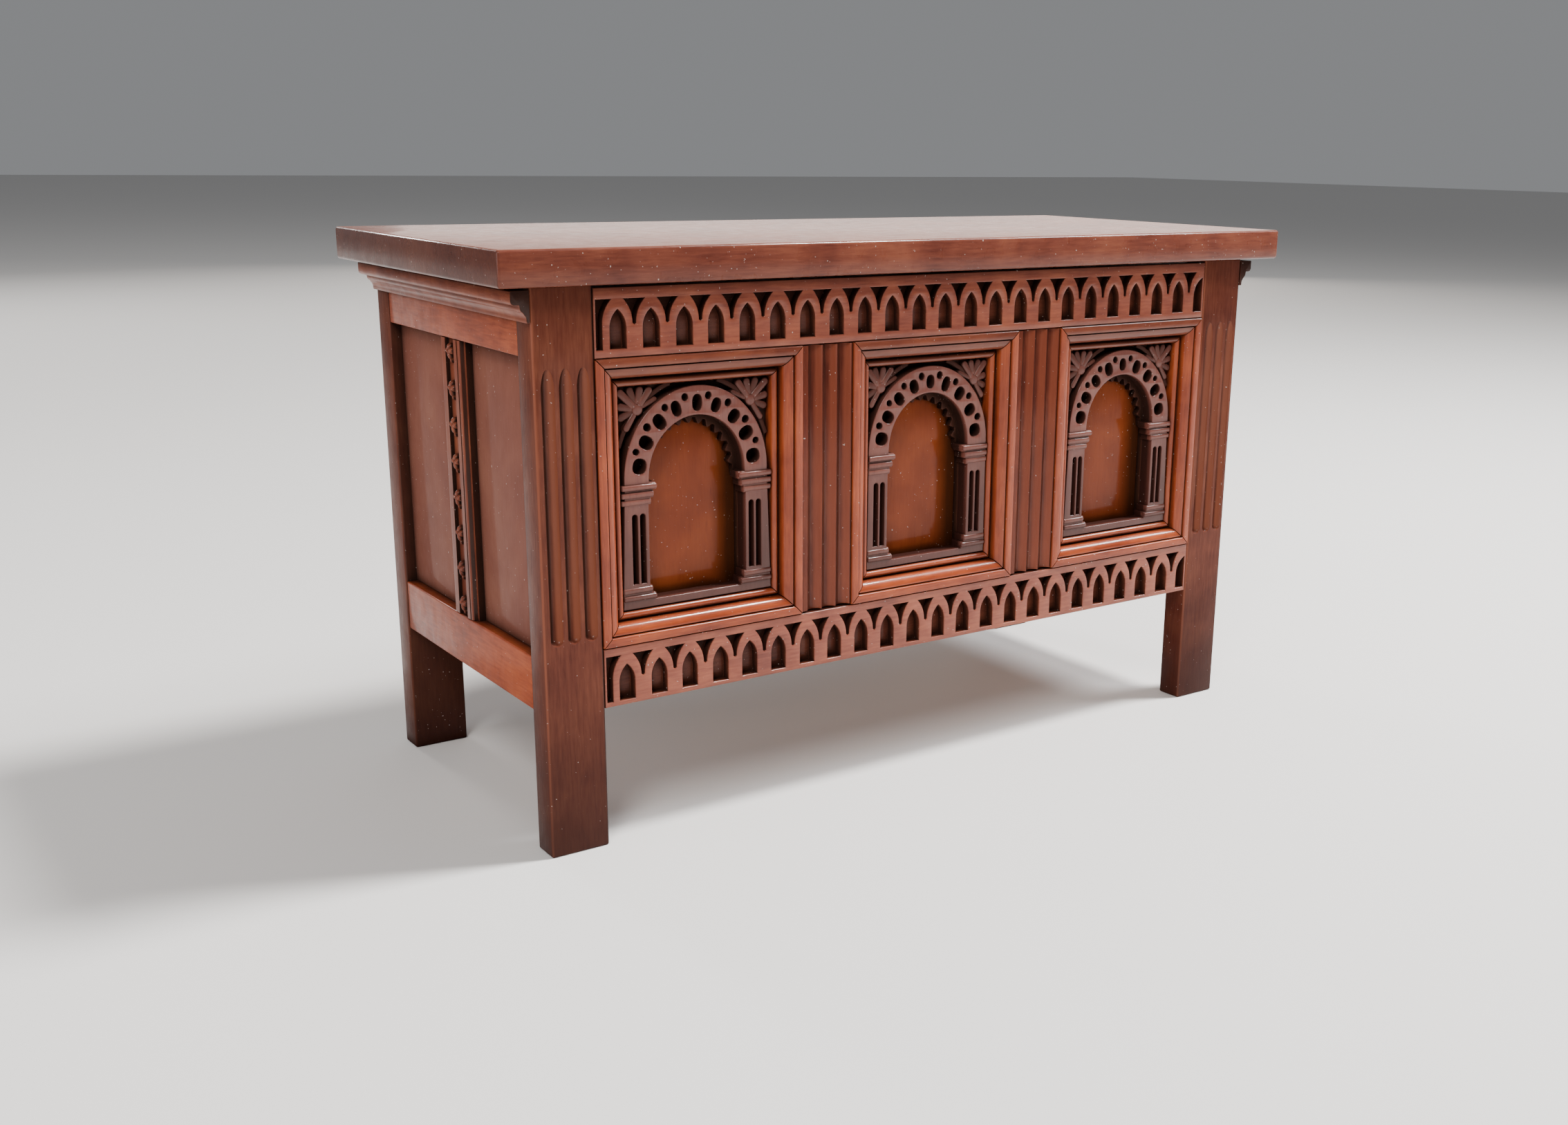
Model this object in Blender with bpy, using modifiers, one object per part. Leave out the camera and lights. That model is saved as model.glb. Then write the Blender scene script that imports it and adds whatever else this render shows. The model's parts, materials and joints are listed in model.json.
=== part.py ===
"""Dolls' house coffer: a plank-legged chest with an arcaded front and a lifting lid.

Millimetres below, turned into metres where meshes are made. +X is to the right of
someone facing the front, the front faces -Y and +Z is up. The origin is the centre of
the footprint, on the surface that the feet stand on.
"""

import math

import bmesh
import bpy
from mathutils import Matrix, Vector

MM = 0.001

# Overall sizes
BODY_WIDTH = 97.0
BODY_DEPTH = 41.5
LEG_WIDTH = 6.4
LEG_DEPTH = 3.4
LID_WIDTH = 105.1
LID_THICKNESS = 3.5
LID_UNDERSIDE = 57.8
LID_FRONT_OVERHANG = 2.4
LID_BACK_OVERHANG = 0.65
HAIRLINE = 0.06

# Hinges
HINGE_OFFSET = 0.75
KNUCKLE_RADIUS = 0.6
BORE_RADIUS = 0.3
PIN_RADIUS = 0.23
LEAF_THICKNESS = 0.25
LEAF_LENGTH = 9.0
LEAF_HEIGHT = 4.0
LID_LEAF_DEPTH = 4.6
KNUCKLE_GAP = 0.1
HINGE_X = 30.0
NAIL_RADIUS = 0.35
NAIL_HEAD = 0.18

# Front frame, with depths counted backwards from the front of the legs
RAIL_DEPTH = 0.05
MUNTIN_DEPTH = 0.15
FRONT_BACK = 5.4
TOP_RAIL_Z = (50.6, 57.4)
BOTTOM_RAIL_Z = (15.0, 21.25)
MUNTIN_WIDTH = 6.4
MUNTIN_X = {"left": -14.8, "right": 15.0}
MUNTIN_Z = (21.45, 50.45)

# Blind arcade on the front rails
ARCADE_PITCH = 3.67
ARCADE_COUNT = 22
ARCADE_FIRST_X = -39.45
LANCET_WIDTH = 1.85
LANCET_RISE = 1.85
LANCET_HEIGHT = 3.85
SPANDREL_TIP = 0.18
SPANDREL_HALF = 1.15
SPANDREL_HEIGHT = 2.4
SPANDREL_FOOT = 2.45
ARCADE_CUT = 1.1
TOP_LANCET_FOOT = 51.4
BOTTOM_LANCET_FOOT = 15.5

# Mouldings round each bay
BAY_Z = (21.31, 50.54)
MOULDING_WIDTH = 3.05
MOULDING_FRONT = -0.12
PANEL_FRONT = 4.1

# Pierced arch in each bay
FRET_FRONT = 1.5
FRET_Z = (24.42, 47.4)
SPRING_Z = 37.9
ARCH_STRETCH = 1.085
RING_OUTER = 8.45
RING_INNER = 5.65
LIP_INNER = 4.6
SHAFT_INNER = 5.75
LARGE_HOLES = 9
HOLE_SWEEP = 159.0
FRET_LAYER = 1.8

# Sides
SIDE_FACE = 0.1
SIDE_THICKNESS = 2.6
SIDE_PANEL_DEPTH = 1.2
SIDE_TOP_Z = (50.9, 57.4)
SIDE_BOTTOM_Z = (15.1, 20.8)
SIDE_MUNTIN_WIDTH = 6.0
CHANNEL_WIDTH = 2.25
CHANNEL_DEPTH = 0.5
BEAD_COUNT = 8
BEAD_PITCH = 3.9
BEAD_TOP_Z = 49.5
CORNICE_Z = (54.35, 57.4)
CORNICE_OUT = 1.9

# Inside and back
FLOOR_Z = (16.0, 17.5)
BACK_THICKNESS = 2.9
BACK_PANEL_DEPTH = 1.2

# Flutes
FLUTE_WIDTH = 1.45
FLUTE_CUT = 0.5
FLUTE_PITCH = 1.86
LEG_FLUTE_Z = (22.4, 50.0)
MUNTIN_FLUTE_WIDTH = 1.75
MUNTIN_FLUTE_CUT = 0.5
MUNTIN_FLUTE_PITCH = 1.87
MUNTIN_FLUTE_OFFSET = 0.25

HALF_WIDTH = BODY_WIDTH / 2
TOTAL_DEPTH = LID_FRONT_OVERHANG + BODY_DEPTH + HINGE_OFFSET + KNUCKLE_RADIUS
Y_FRONT = LID_FRONT_OVERHANG - TOTAL_DEPTH / 2
Y_BACK = Y_FRONT + BODY_DEPTH
HINGE_Y = Y_BACK + HINGE_OFFSET
HINGE_Z = LID_UNDERSIDE - HAIRLINE - KNUCKLE_RADIUS
BAY_END = HALF_WIDTH - LEG_WIDTH
HALF_MUNTIN = MUNTIN_WIDTH / 2
BAYS = {
    "left": (-BAY_END + HAIRLINE, MUNTIN_X["left"] - HALF_MUNTIN - HAIRLINE),
    "centre": (MUNTIN_X["left"] + HALF_MUNTIN + HAIRLINE, MUNTIN_X["right"] - HALF_MUNTIN - HAIRLINE),
    "right": (MUNTIN_X["right"] + HALF_MUNTIN + HAIRLINE, BAY_END - HAIRLINE),
}

for old in list(bpy.data.objects):
    bpy.data.objects.remove(old)
parts = bpy.data.collections.new("coffer")
cutters = bpy.data.collections.new("cutters")
for collection in (parts, cutters):
    bpy.context.scene.collection.children.link(collection)


def material(name, colour, roughness, metallic=0.0):
    made = bpy.data.materials.new(name)
    made.use_nodes = True
    shader = made.node_tree.nodes["Principled BSDF"]
    shader.inputs["Base Color"].default_value = (*colour, 1.0)
    shader.inputs["Roughness"].default_value = roughness
    shader.inputs["Metallic"].default_value = metallic
    return made


FRAME_WOOD = material("frame_wood", (0.16, 0.045, 0.024), 0.32)
CARVED_WOOD = material("carved_wood", (0.12, 0.034, 0.022), 0.34)
PANEL_WOOD = material("panel_wood", (0.30, 0.085, 0.022), 0.36)
LID_WOOD = material("lid_wood", (0.14, 0.042, 0.03), 0.28)
INSIDE_WOOD = material("inside_wood", (0.24, 0.10, 0.05), 0.6)
BRASS = material("brass", (0.62, 0.42, 0.14), 0.35, 1.0)


def add_object(name, mesh, wood=None, location=(0, 0, 0)):
    """Puts the mesh, in millimetres, into the scene in metres, as a part or as a cutter."""
    mesh.transform(Matrix.Scale(MM, 4))
    mesh.name = name
    made = bpy.data.objects.new(name, mesh)
    made.location = Vector(location) * MM
    if wood:
        mesh.materials.clear()
        mesh.materials.append(wood)
        parts.objects.link(made)
    else:
        cutters.objects.link(made)
        made.hide_render = True
        made.display_type = "WIRE"
    return made


def box(name, x, y, z, wood=None, edge=0.0):
    """A board between pairs of limits, with its origin at its middle and, if asked, eased edges."""
    bm = bmesh.new()
    bmesh.ops.create_cube(bm, size=1.0)
    bmesh.ops.scale(bm, vec=(x[1] - x[0], y[1] - y[0], z[1] - z[0]), verts=bm.verts)
    mesh = bpy.data.meshes.new(name)
    bm.to_mesh(mesh)
    bm.free()
    made = add_object(name, mesh, wood, (sum(x) / 2, sum(y) / 2, sum(z) / 2))
    if edge:
        bevel = made.modifiers.new("eased_edges", "BEVEL")
        bevel.width = edge * MM
        bevel.segments = 1
    return made


def flat_mesh(outlines, thickness):
    """The outlines filled, less the outlines inside them, as a plate centred on local Z."""
    curve = bpy.data.curves.new("outline", "CURVE")
    curve.dimensions = "2D"
    curve.fill_mode = "BOTH"
    curve.extrude = thickness / 2
    for outline in outlines:
        spline = curve.splines.new("POLY")
        spline.points.add(len(outline) - 1)
        spline.use_cyclic_u = True
        for point, (u, v) in zip(spline.points, outline):
            point.co = (u, v, 0, 1)
    guide = bpy.data.objects.new("outline", curve)
    parts.objects.link(guide)
    graph = bpy.context.evaluated_depsgraph_get()
    mesh = bpy.data.meshes.new_from_object(guide.evaluated_get(graph))
    bpy.data.objects.remove(guide)
    bm = bmesh.new()
    bm.from_mesh(mesh)
    bmesh.ops.remove_doubles(bm, verts=bm.verts, dist=0.001)
    bmesh.ops.recalc_face_normals(bm, faces=bm.faces)
    bm.to_mesh(mesh)
    bm.free()
    return mesh


def upright(outlines, y):
    """A plate whose outlines are (x, z), between two y limits."""
    mesh = flat_mesh(outlines, y[1] - y[0])
    mesh.transform(Matrix.Translation((0, sum(y) / 2, 0)) @ Matrix.Rotation(math.pi / 2, 4, "X"))
    return mesh


def sideways(outlines, x):
    """A plate whose outlines are (y, z), between two x limits."""
    mesh = flat_mesh(outlines, x[1] - x[0])
    turn = Matrix.Rotation(math.pi / 2, 4, "Z") @ Matrix.Rotation(math.pi / 2, 4, "X")
    mesh.transform(Matrix.Translation((sum(x) / 2, 0, 0)) @ turn)
    return mesh


def lying(outlines, z):
    """A plate whose outlines are (x, y), between two z limits."""
    mesh = flat_mesh(outlines, z[1] - z[0])
    mesh.transform(Matrix.Translation((0, 0, sum(z) / 2)))
    return mesh


def boolean(target, tool, operation="DIFFERENCE"):
    cut = target.modifiers.new(tool.name, "BOOLEAN")
    cut.operation = operation
    cut.object = tool
    cut.solver = "EXACT"


def joined(meshes):
    """Several meshes in millimetres as one."""
    bm = bmesh.new()
    for mesh in meshes:
        bm.from_mesh(mesh)
        bpy.data.meshes.remove(mesh)
    made = bpy.data.meshes.new("joined")
    bm.to_mesh(made)
    bm.free()
    return made


def arc(centre, radius, start, end, steps):
    """Points along a circular arc, with angles in degrees."""
    angles = [math.radians(start + (end - start) * i / steps) for i in range(steps + 1)]
    return [(centre[0] + radius * math.cos(a), centre[1] + radius * math.sin(a)) for a in angles]


def front(depth):
    return Y_FRONT + depth


def rectangle(u, v):
    return [(u[0], v[0]), (u[1], v[0]), (u[1], v[1]), (u[0], v[1])]


def rod(radius, length, segments, axis="X"):
    """A cylinder centred on the origin."""
    bm = bmesh.new()
    bmesh.ops.create_cone(
        bm, cap_ends=True, segments=segments, radius1=radius, radius2=radius, depth=length
    )
    mesh = bpy.data.meshes.new("rod")
    bm.to_mesh(mesh)
    bm.free()
    if axis == "X":
        mesh.transform(Matrix.Rotation(math.pi / 2, 4, "Y"))
    if axis == "Y":
        mesh.transform(Matrix.Rotation(math.pi / 2, 4, "X"))
    return mesh


def flute_radius(width, cut):
    return (width * width / 4 + cut * cut) / (2 * cut)


def capsule(radius, x, y, z):
    """An upright rod with round ends between two z limits."""
    bm = bmesh.new()
    bmesh.ops.create_uvsphere(bm, u_segments=12, v_segments=6, radius=radius)
    stretch = (z[1] - z[0]) / 2 - radius
    for vertex in bm.verts:
        vertex.co.z += math.copysign(stretch, vertex.co.z) if abs(vertex.co.z) > 1e-6 else 0.0
        vertex.co += Vector((x, y, sum(z) / 2))
    mesh = bpy.data.meshes.new("capsule")
    bm.to_mesh(mesh)
    bm.free()
    return mesh


def legs():
    """Four plank legs, the front pair with three round-ended flutes."""
    radius = flute_radius(FLUTE_WIDTH, FLUTE_CUT)
    flute_y = front(FLUTE_CUT - radius)
    for side, sign in (("left", -1), ("right", 1)):
        x = sorted((sign * HALF_WIDTH, sign * (HALF_WIDTH - LEG_WIDTH)))
        top = LID_UNDERSIDE - HAIRLINE
        fronted = box(f"leg_front_{side}", x, (front(0), front(LEG_DEPTH)), (0, top), FRAME_WOOD)
        box(f"leg_back_{side}", x, (Y_BACK - LEG_DEPTH, Y_BACK), (0, SIDE_TOP_Z[1]), FRAME_WOOD)
        middle = sum(x) / 2
        flutes = [
            capsule(radius, middle + i * FLUTE_PITCH, flute_y, LEG_FLUTE_Z) for i in (-1, 0, 1)
        ]
        boolean(fronted, add_object(f"leg_flutes_{side}", joined(flutes)))


def lancet(x, foot):
    """A pointed opening: straight sides, then two arcs struck from each other's springing."""
    spring = foot + LANCET_HEIGHT - LANCET_RISE
    half = LANCET_WIDTH / 2
    radius = (half**2 + LANCET_RISE**2) / LANCET_WIDTH
    sweep = math.degrees(math.asin(LANCET_RISE / radius))
    right = arc((x + half - radius, spring), radius, 0, sweep, 3)
    left = arc((x - half + radius, spring), radius, 180 - sweep, 180, 3)
    return [(x - half, foot), (x + half, foot)] + right + left[1:]


def spandrel(x, foot, sides=(-1, 1)):
    """The sunk three-cornered field between two arches, or half of it."""
    tip = foot + SPANDREL_FOOT
    spread = SPANDREL_HALF - SPANDREL_TIP
    radius = (spread**2 + SPANDREL_HEIGHT**2) / (2 * spread)
    sweep = math.degrees(math.asin(SPANDREL_HEIGHT / radius))
    outline = []
    if 1 in sides:
        outline += arc((x + SPANDREL_TIP + radius, tip), radius, 180, 180 - sweep, 3)
    else:
        outline += [(x, tip), (x, tip + SPANDREL_HEIGHT)]
    if -1 in sides:
        outline += arc((x - SPANDREL_TIP - radius, tip), radius, sweep, 0, 3)
    else:
        outline += [(x, tip + SPANDREL_HEIGHT), (x, tip)]
    return outline


def arcade_rail(name, z, foot):
    """A front rail with a blind gothic arcade sunk into its face."""
    x_end = HALF_WIDTH - LEG_WIDTH - HAIRLINE
    rail = box(name, (-x_end, x_end), (front(RAIL_DEPTH), front(FRONT_BACK)), z, FRAME_WOOD)
    outlines = [lancet(ARCADE_FIRST_X + i * ARCADE_PITCH, foot) for i in range(ARCADE_COUNT)]
    first = ARCADE_FIRST_X - ARCADE_PITCH / 2
    outlines += [spandrel(first + i * ARCADE_PITCH, foot) for i in range(1, ARCADE_COUNT + 1)]
    outlines.append(spandrel(first, foot, sides=(1,)))
    cuts = upright(outlines, (front(RAIL_DEPTH - 1), front(RAIL_DEPTH + ARCADE_CUT)))
    boolean(rail, add_object(name + "_arcade", cuts))


def front_muntins():
    """The two uprights between the bays, each with three full-height flutes."""
    radius = flute_radius(MUNTIN_FLUTE_WIDTH, MUNTIN_FLUTE_CUT)
    half = MUNTIN_WIDTH / 2 - HAIRLINE
    flute_y = front(MUNTIN_DEPTH + MUNTIN_FLUTE_CUT - radius)
    for side, x in MUNTIN_X.items():
        muntin = box(
            f"front_muntin_{side}",
            (x - half, x + half),
            (front(MUNTIN_DEPTH), front(FRONT_BACK)),
            MUNTIN_Z,
            FRAME_WOOD,
        )
        flutes = []
        for i in (-1, 0, 1):
            at = MUNTIN_FLUTE_OFFSET + i * MUNTIN_FLUTE_PITCH
            flute = rod(radius, 40.0, 24, "Z")
            flute.transform(Matrix.Translation((x + at, flute_y, 36.0)))
            flutes.append(flute)
        boolean(muntin, add_object(f"muntin_flutes_{side}", joined(flutes)))


def moulding_profile():
    """(distance in from the outer edge, depth): a fillet, a groove, an ovolo, a step and a bead."""
    back = PANEL_FRONT - HAIRLINE
    face = [(0.0, back), (0.0, MOULDING_FRONT), (0.95, MOULDING_FRONT), (1.0, 0.22), (1.1, 0.18)]
    face += [(1.1 + u, 1.0 - 0.82 * v) for u, v in arc((0, 0), 1.0, 70, 8, 3)]
    bead = [(2.69 + 0.35 * u, 1.58 - 0.3 * v) for u, v in arc((0, 0), 1.0, 160, 0, 4)]
    return face + [(2.27, 1.5)] + bead + [(MOULDING_WIDTH, back)]


def moulding_strip(name, length, middle, turn):
    """One mitred strip. Its profile is drawn as (in, depth) and swept along local X."""
    profile = moulding_profile()
    half = length / 2 - HAIRLINE / 2
    mesh = flat_mesh([profile], 2 * half)
    for vertex in mesh.vertices:
        inward, depth, along = vertex.co
        along *= (half - inward) / half
        vertex.co = (along, depth, inward)
    mesh.flip_normals()
    mesh.transform(Matrix.Rotation(math.radians(turn), 4, "Y"))
    mesh.transform(Matrix.Translation(middle))
    bm = bmesh.new()
    bm.from_mesh(mesh)
    bmesh.ops.recalc_face_normals(bm, faces=bm.faces)
    bm.to_mesh(mesh)
    bm.free()
    add_object(name, mesh, FRAME_WOOD)


def bay_frames():
    """Four mitred strips round each bay."""
    height = BAY_Z[1] - BAY_Z[0]
    middle_z = sum(BAY_Z) / 2
    for bay, (left, right) in BAYS.items():
        width = right - left
        x = (left + right) / 2
        sides = (
            ("bottom", width, (x, Y_FRONT, BAY_Z[0]), 0),
            ("left", height, (left, Y_FRONT, middle_z), 90),
            ("top", width, (x, Y_FRONT, BAY_Z[1]), 180),
            ("right", height, (right, Y_FRONT, middle_z), 270),
        )
        for side, length, middle, turn in sides:
            moulding_strip(f"moulding_{bay}_{side}", length, middle, turn)


def arch_curve(x, radius, start, end, steps):
    """Points along one of the arch's slightly stilted curves."""
    points = arc((0, 0), radius, start, end, steps)
    return [(x + u, SPRING_Z + ARCH_STRETCH * v) for u, v in points]


def ellipse(centre, radial, across, angle, points):
    """An oval hole whose long axis points away from the arch's centre."""
    lean = math.radians(angle)
    outline = []
    for i in range(points):
        turn = 2 * math.pi * i / points
        r = radial * math.cos(turn)
        t = across * math.sin(turn)
        u = centre[0] + r * math.cos(lean) - t * math.sin(lean)
        v = centre[1] + r * math.sin(lean) + t * math.cos(lean)
        outline.append((u, v))
    return outline


def arch_opening(x, ring_radius):
    """The opening of the fret: arch, stepped capitals, shafts and stepped bases, mirrored."""
    half = [(5.1, 25.3), (5.1, 26.0), (5.5, 26.0), (5.5, 26.8), (SHAFT_INNER, 26.8)]
    half += [(SHAFT_INNER, 35.3), (5.5, 35.3), (5.5, 36.03), (5.2, 36.03), (5.2, 36.82)]
    half += [(4.87, 36.82), (4.87, 37.55), (ring_radius, 37.55)]
    curve = arch_curve(0, ring_radius, 0, 180, 18)
    outline = half + curve + [(-u, v) for u, v in reversed(half)]
    return [(x + u, v) for u, v in outline]


def fret_holes(x):
    """Large ovals along the ring with small round holes between them, and two slots in each shaft."""
    holes = []
    step = HOLE_SWEEP / (LARGE_HOLES - 1)
    for i in range(LARGE_HOLES):
        angle = 90 - HOLE_SWEEP / 2 + step * i
        upright_share = abs(math.sin(math.radians(angle)))
        at = arch_curve(x, 6.8, angle, angle, 1)[0]
        holes.append(ellipse(at, 0.82, 0.82 - 0.24 * upright_share, angle, 8))
        if i:
            between = angle - step / 2
            at = arch_curve(x, 7.5, between, between, 1)[0]
            holes.append(ellipse(at, 0.42, 0.42, between, 6))
    for sign in (-1, 1):
        for u in (6.45, 7.35):
            slot = [(-0.31, 27.1), (0.31, 27.1)] + arc((0, 34.1), 0.31, 0, 180, 4)
            holes.append([(x + sign * u + du, v) for du, v in slot])
    return holes


def moat(x, half):
    """The sunk strip just outside the ring."""
    outline = arch_curve(x, RING_OUTER + 0.7, 30, 150, 12) + arch_curve(x, RING_OUTER, 150, 30, 12)
    limit = half - 0.25
    return [(max(x - limit, min(x + limit, u)), min(v, FRET_Z[1] - 0.2)) for u, v in outline]


def arch_fret(bay, left, right):
    """A pierced plate with the arch in its upper layer and a narrower lip behind the ring."""
    x = (left + right) / 2
    half = (right - left) / 2 - MOULDING_WIDTH - HAIRLINE
    y = (front(FRET_FRONT), front(PANEL_FRONT - HAIRLINE))
    plate = rectangle((x - half, x + half), FRET_Z)
    fret = add_object(f"arch_{bay}", upright([plate, arch_opening(x, LIP_INNER)], y), CARVED_WOOD)
    lower = FRET_FRONT + FRET_LAYER
    wide = upright([arch_opening(x, RING_INNER)], (front(0), front(lower)))
    boolean(fret, add_object(f"arch_{bay}_opening", wide))
    pierced = upright(fret_holes(x) + [moat(x, half)], (front(0), front(lower)))
    boolean(fret, add_object(f"arch_{bay}_piercing", pierced))


def front_panels():
    for bay, (left, right) in BAYS.items():
        y = (front(PANEL_FRONT), front(FRONT_BACK))
        box(f"panel_{bay}", (left, right), y, (21.35, 50.5), PANEL_WOOD)
        arch_fret(bay, left, right)


def side_muntin_profile(face, sign, middle_y):
    """Plan of a side muntin: stepped fillets down to each panel and a sunk channel."""
    half = SIDE_MUNTIN_WIDTH / 2
    channel = CHANNEL_WIDTH / 2
    steps = [(-half, SIDE_THICKNESS), (-half, 0.55), (-half + 0.45, 0.55), (-half + 0.45, 0.25)]
    steps += [(-half + 0.95, 0.25), (-half + 0.95, 0.0), (-channel, 0.0), (-channel, CHANNEL_DEPTH)]
    outline = steps + [(-u, depth) for u, depth in reversed(steps)]
    return [(face - sign * depth, middle_y + u) for u, depth in outline]


def trefoil(y, z):
    """Three round lobes over a pointed tail."""
    lobes = [(y - 0.55, z + 0.1), (y, z + 0.6), (y + 0.55, z + 0.1)]
    outline = arc(lobes[2], 0.42, -60, 100, 4)
    outline += arc(lobes[1], 0.42, 0, 180, 4)
    outline += arc(lobes[0], 0.42, 80, 240, 4)
    return outline + [(y, z - 1.0)]


def sides():
    """Each side is a frame of two rails and a muntin round two plain panels, under a cornice."""
    y_front = front(LEG_DEPTH + HAIRLINE)
    y_back = Y_BACK - LEG_DEPTH - HAIRLINE
    middle = (Y_FRONT + Y_BACK) / 2
    muntin_half = SIDE_MUNTIN_WIDTH / 2
    panel_z = (SIDE_BOTTOM_Z[1] + HAIRLINE, SIDE_TOP_Z[0] - HAIRLINE)
    for side, sign in (("left", -1), ("right", 1)):
        face = sign * (HALF_WIDTH - SIDE_FACE)
        inner = face - sign * SIDE_THICKNESS
        sunk = face - sign * SIDE_PANEL_DEPTH
        x = sorted((face, inner))
        box(f"side_{side}_top_rail", x, (y_front, y_back), SIDE_TOP_Z, FRAME_WOOD)
        box(f"side_{side}_bottom_rail", x, (y_front, y_back), SIDE_BOTTOM_Z, FRAME_WOOD)
        muntin = add_object(
            f"side_{side}_muntin",
            lying([side_muntin_profile(face, sign, middle)], panel_z),
            FRAME_WOOD,
        )
        floor = face - sign * CHANNEL_DEPTH
        beads = [trefoil(middle, BEAD_TOP_Z - i * BEAD_PITCH) for i in range(BEAD_COUNT)]
        raised = sideways(beads, sorted((floor - sign * 0.3, floor + sign * 0.55)))
        boolean(muntin, add_object(f"beads_{side}", raised), "UNION")
        panel_x = sorted((sunk, inner))
        ends = ((y_front, middle - muntin_half - HAIRLINE), (middle + muntin_half + HAIRLINE, y_back))
        for end, y in zip(("front", "back"), ends):
            box(f"side_{side}_panel_{end}", panel_x, y, panel_z, PANEL_WOOD)
        cornice(side, sign)


def cornice(side, sign):
    """A crown moulding along one side: a rounded fascia over an ogee."""
    top = CORNICE_Z[1]
    low = CORNICE_Z[0]
    out = CORNICE_OUT
    outline = [(0.0, low), (0.0, top), (out, top), (out, top - 1.0)]
    outline += arc((out - 0.35, top - 1.0), 0.35, 0, -90, 3)[1:]
    outline += [(1.0, top - 1.35), (1.0, top - 1.6)]
    outline += arc((0.45, top - 1.6), 0.5, 0, -60, 3)[1:]
    outline += [(0.3, low + 0.3), (0.3, low)]
    start = HALF_WIDTH + HAIRLINE
    flat = [(sign * (start + u), v) for u, v in outline]
    mesh = upright([flat], (Y_FRONT, Y_BACK))
    add_object(f"cornice_{side}", mesh, FRAME_WOOD)


def back_and_floor():
    half = HALF_WIDTH - LEG_WIDTH - HAIRLINE
    y = (Y_BACK - BACK_THICKNESS, Y_BACK - SIDE_FACE)
    box("back_top_rail", (-half, half), y, SIDE_TOP_Z, FRAME_WOOD)
    box("back_bottom_rail", (-half, half), y, SIDE_BOTTOM_Z, FRAME_WOOD)
    panel_y = (Y_BACK - BACK_THICKNESS, Y_BACK - BACK_PANEL_DEPTH)
    panel_z = (SIDE_BOTTOM_Z[1] + HAIRLINE, SIDE_TOP_Z[0] - HAIRLINE)
    box("back_panel", (-half, half), panel_y, panel_z, INSIDE_WOOD)
    inner = HALF_WIDTH - SIDE_FACE - SIDE_THICKNESS - HAIRLINE
    floor_y = (front(FRONT_BACK + HAIRLINE), Y_BACK - LEG_DEPTH - HAIRLINE)
    box("floor_board", (-inner, inner), floor_y, FLOOR_Z, INSIDE_WOOD)


def lid():
    """A plain board with eased edges. Its origin is on the hinge line."""
    y = (Y_FRONT - LID_FRONT_OVERHANG, Y_BACK + LID_BACK_OVERHANG)
    z = (LID_UNDERSIDE, LID_UNDERSIDE + LID_THICKNESS)
    board = box("lid_board", (-LID_WIDTH / 2, LID_WIDTH / 2), y, z, LID_WOOD, edge=0.35)
    hang_on_hinge(board)


def hang_on_hinge(piece):
    """Moves the piece's origin to the hinge line and leaves its shape where it is."""
    axis = Vector((piece.location.x / MM, HINGE_Y, HINGE_Z)) * MM
    piece.data.transform(Matrix.Translation(piece.location - axis))
    piece.location = axis


def knuckles(spans):
    made = []
    for low, high in spans:
        mesh = rod(KNUCKLE_RADIUS, high - low, 16)
        mesh.transform(Matrix.Translation(((low + high) / 2, HINGE_Y, HINGE_Z)))
        made.append(mesh)
    return made


def hinge(side, x):
    """A butt hinge: one leaf nailed to the back, one under the lid, and a pin through both."""
    third = LEAF_LENGTH / 3
    ends = (x - LEAF_LENGTH / 2, x + LEAF_LENGTH / 2)
    gap = KNUCKLE_GAP / 2
    outer = ((ends[0], ends[0] + third - gap), (ends[1] - third + gap, ends[1]))
    centre = ((ends[0] + third + gap, ends[1] - third - gap),)
    bore = rod(BORE_RADIUS, LEAF_LENGTH + 2, 16)
    bore.transform(Matrix.Translation((x, HINGE_Y, HINGE_Z)))
    bore_tool = add_object(f"hinge_{side}_bore", bore)

    back_y = (Y_BACK + HAIRLINE, Y_BACK + HAIRLINE + LEAF_THICKNESS)
    body_z = (HINGE_Z - LEAF_HEIGHT, HINGE_Z)
    body_leaf = box(f"hinge_{side}_body_leaf", ends, back_y, body_z, BRASS)
    slot_y = (Y_BACK - 1, HINGE_Y + 1)
    clear = box(f"hinge_{side}_body_notch", (centre[0][0] - 2 * gap, centre[0][1] + 2 * gap), slot_y,
                (HINGE_Z - KNUCKLE_RADIUS - 0.1, HINGE_Z + 1))
    boolean(body_leaf, clear)
    boolean(body_leaf, add_object(f"hinge_{side}_outer_knuckles", joined(knuckles(outer))), "UNION")
    boolean(body_leaf, bore_tool)

    lid_y = (HINGE_Y - LID_LEAF_DEPTH, HINGE_Y)
    under = LID_UNDERSIDE - HAIRLINE
    lid_leaf = box(f"hinge_{side}_lid_leaf", ends, lid_y, (under - LEAF_THICKNESS, under), BRASS)
    for i, (low, high) in enumerate(outer):
        grown = (low - 1, high + 2 * gap) if i == 0 else (low - 2 * gap, high + 1)
        room = box(f"hinge_{side}_lid_notch_{i}", grown, (HINGE_Y - KNUCKLE_RADIUS - 0.1, HINGE_Y + 1),
                   (HINGE_Z - 1, under + 1))
        boolean(lid_leaf, room)
    boolean(lid_leaf, add_object(f"hinge_{side}_centre_knuckle", joined(knuckles(centre))), "UNION")
    boolean(lid_leaf, bore_tool)
    hang_on_hinge(lid_leaf)

    pin = rod(PIN_RADIUS, LEAF_LENGTH, 16)
    add_object(f"hinge_{side}_pin", pin, BRASS, (x, HINGE_Y, HINGE_Z))
    nails(side, x)


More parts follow.
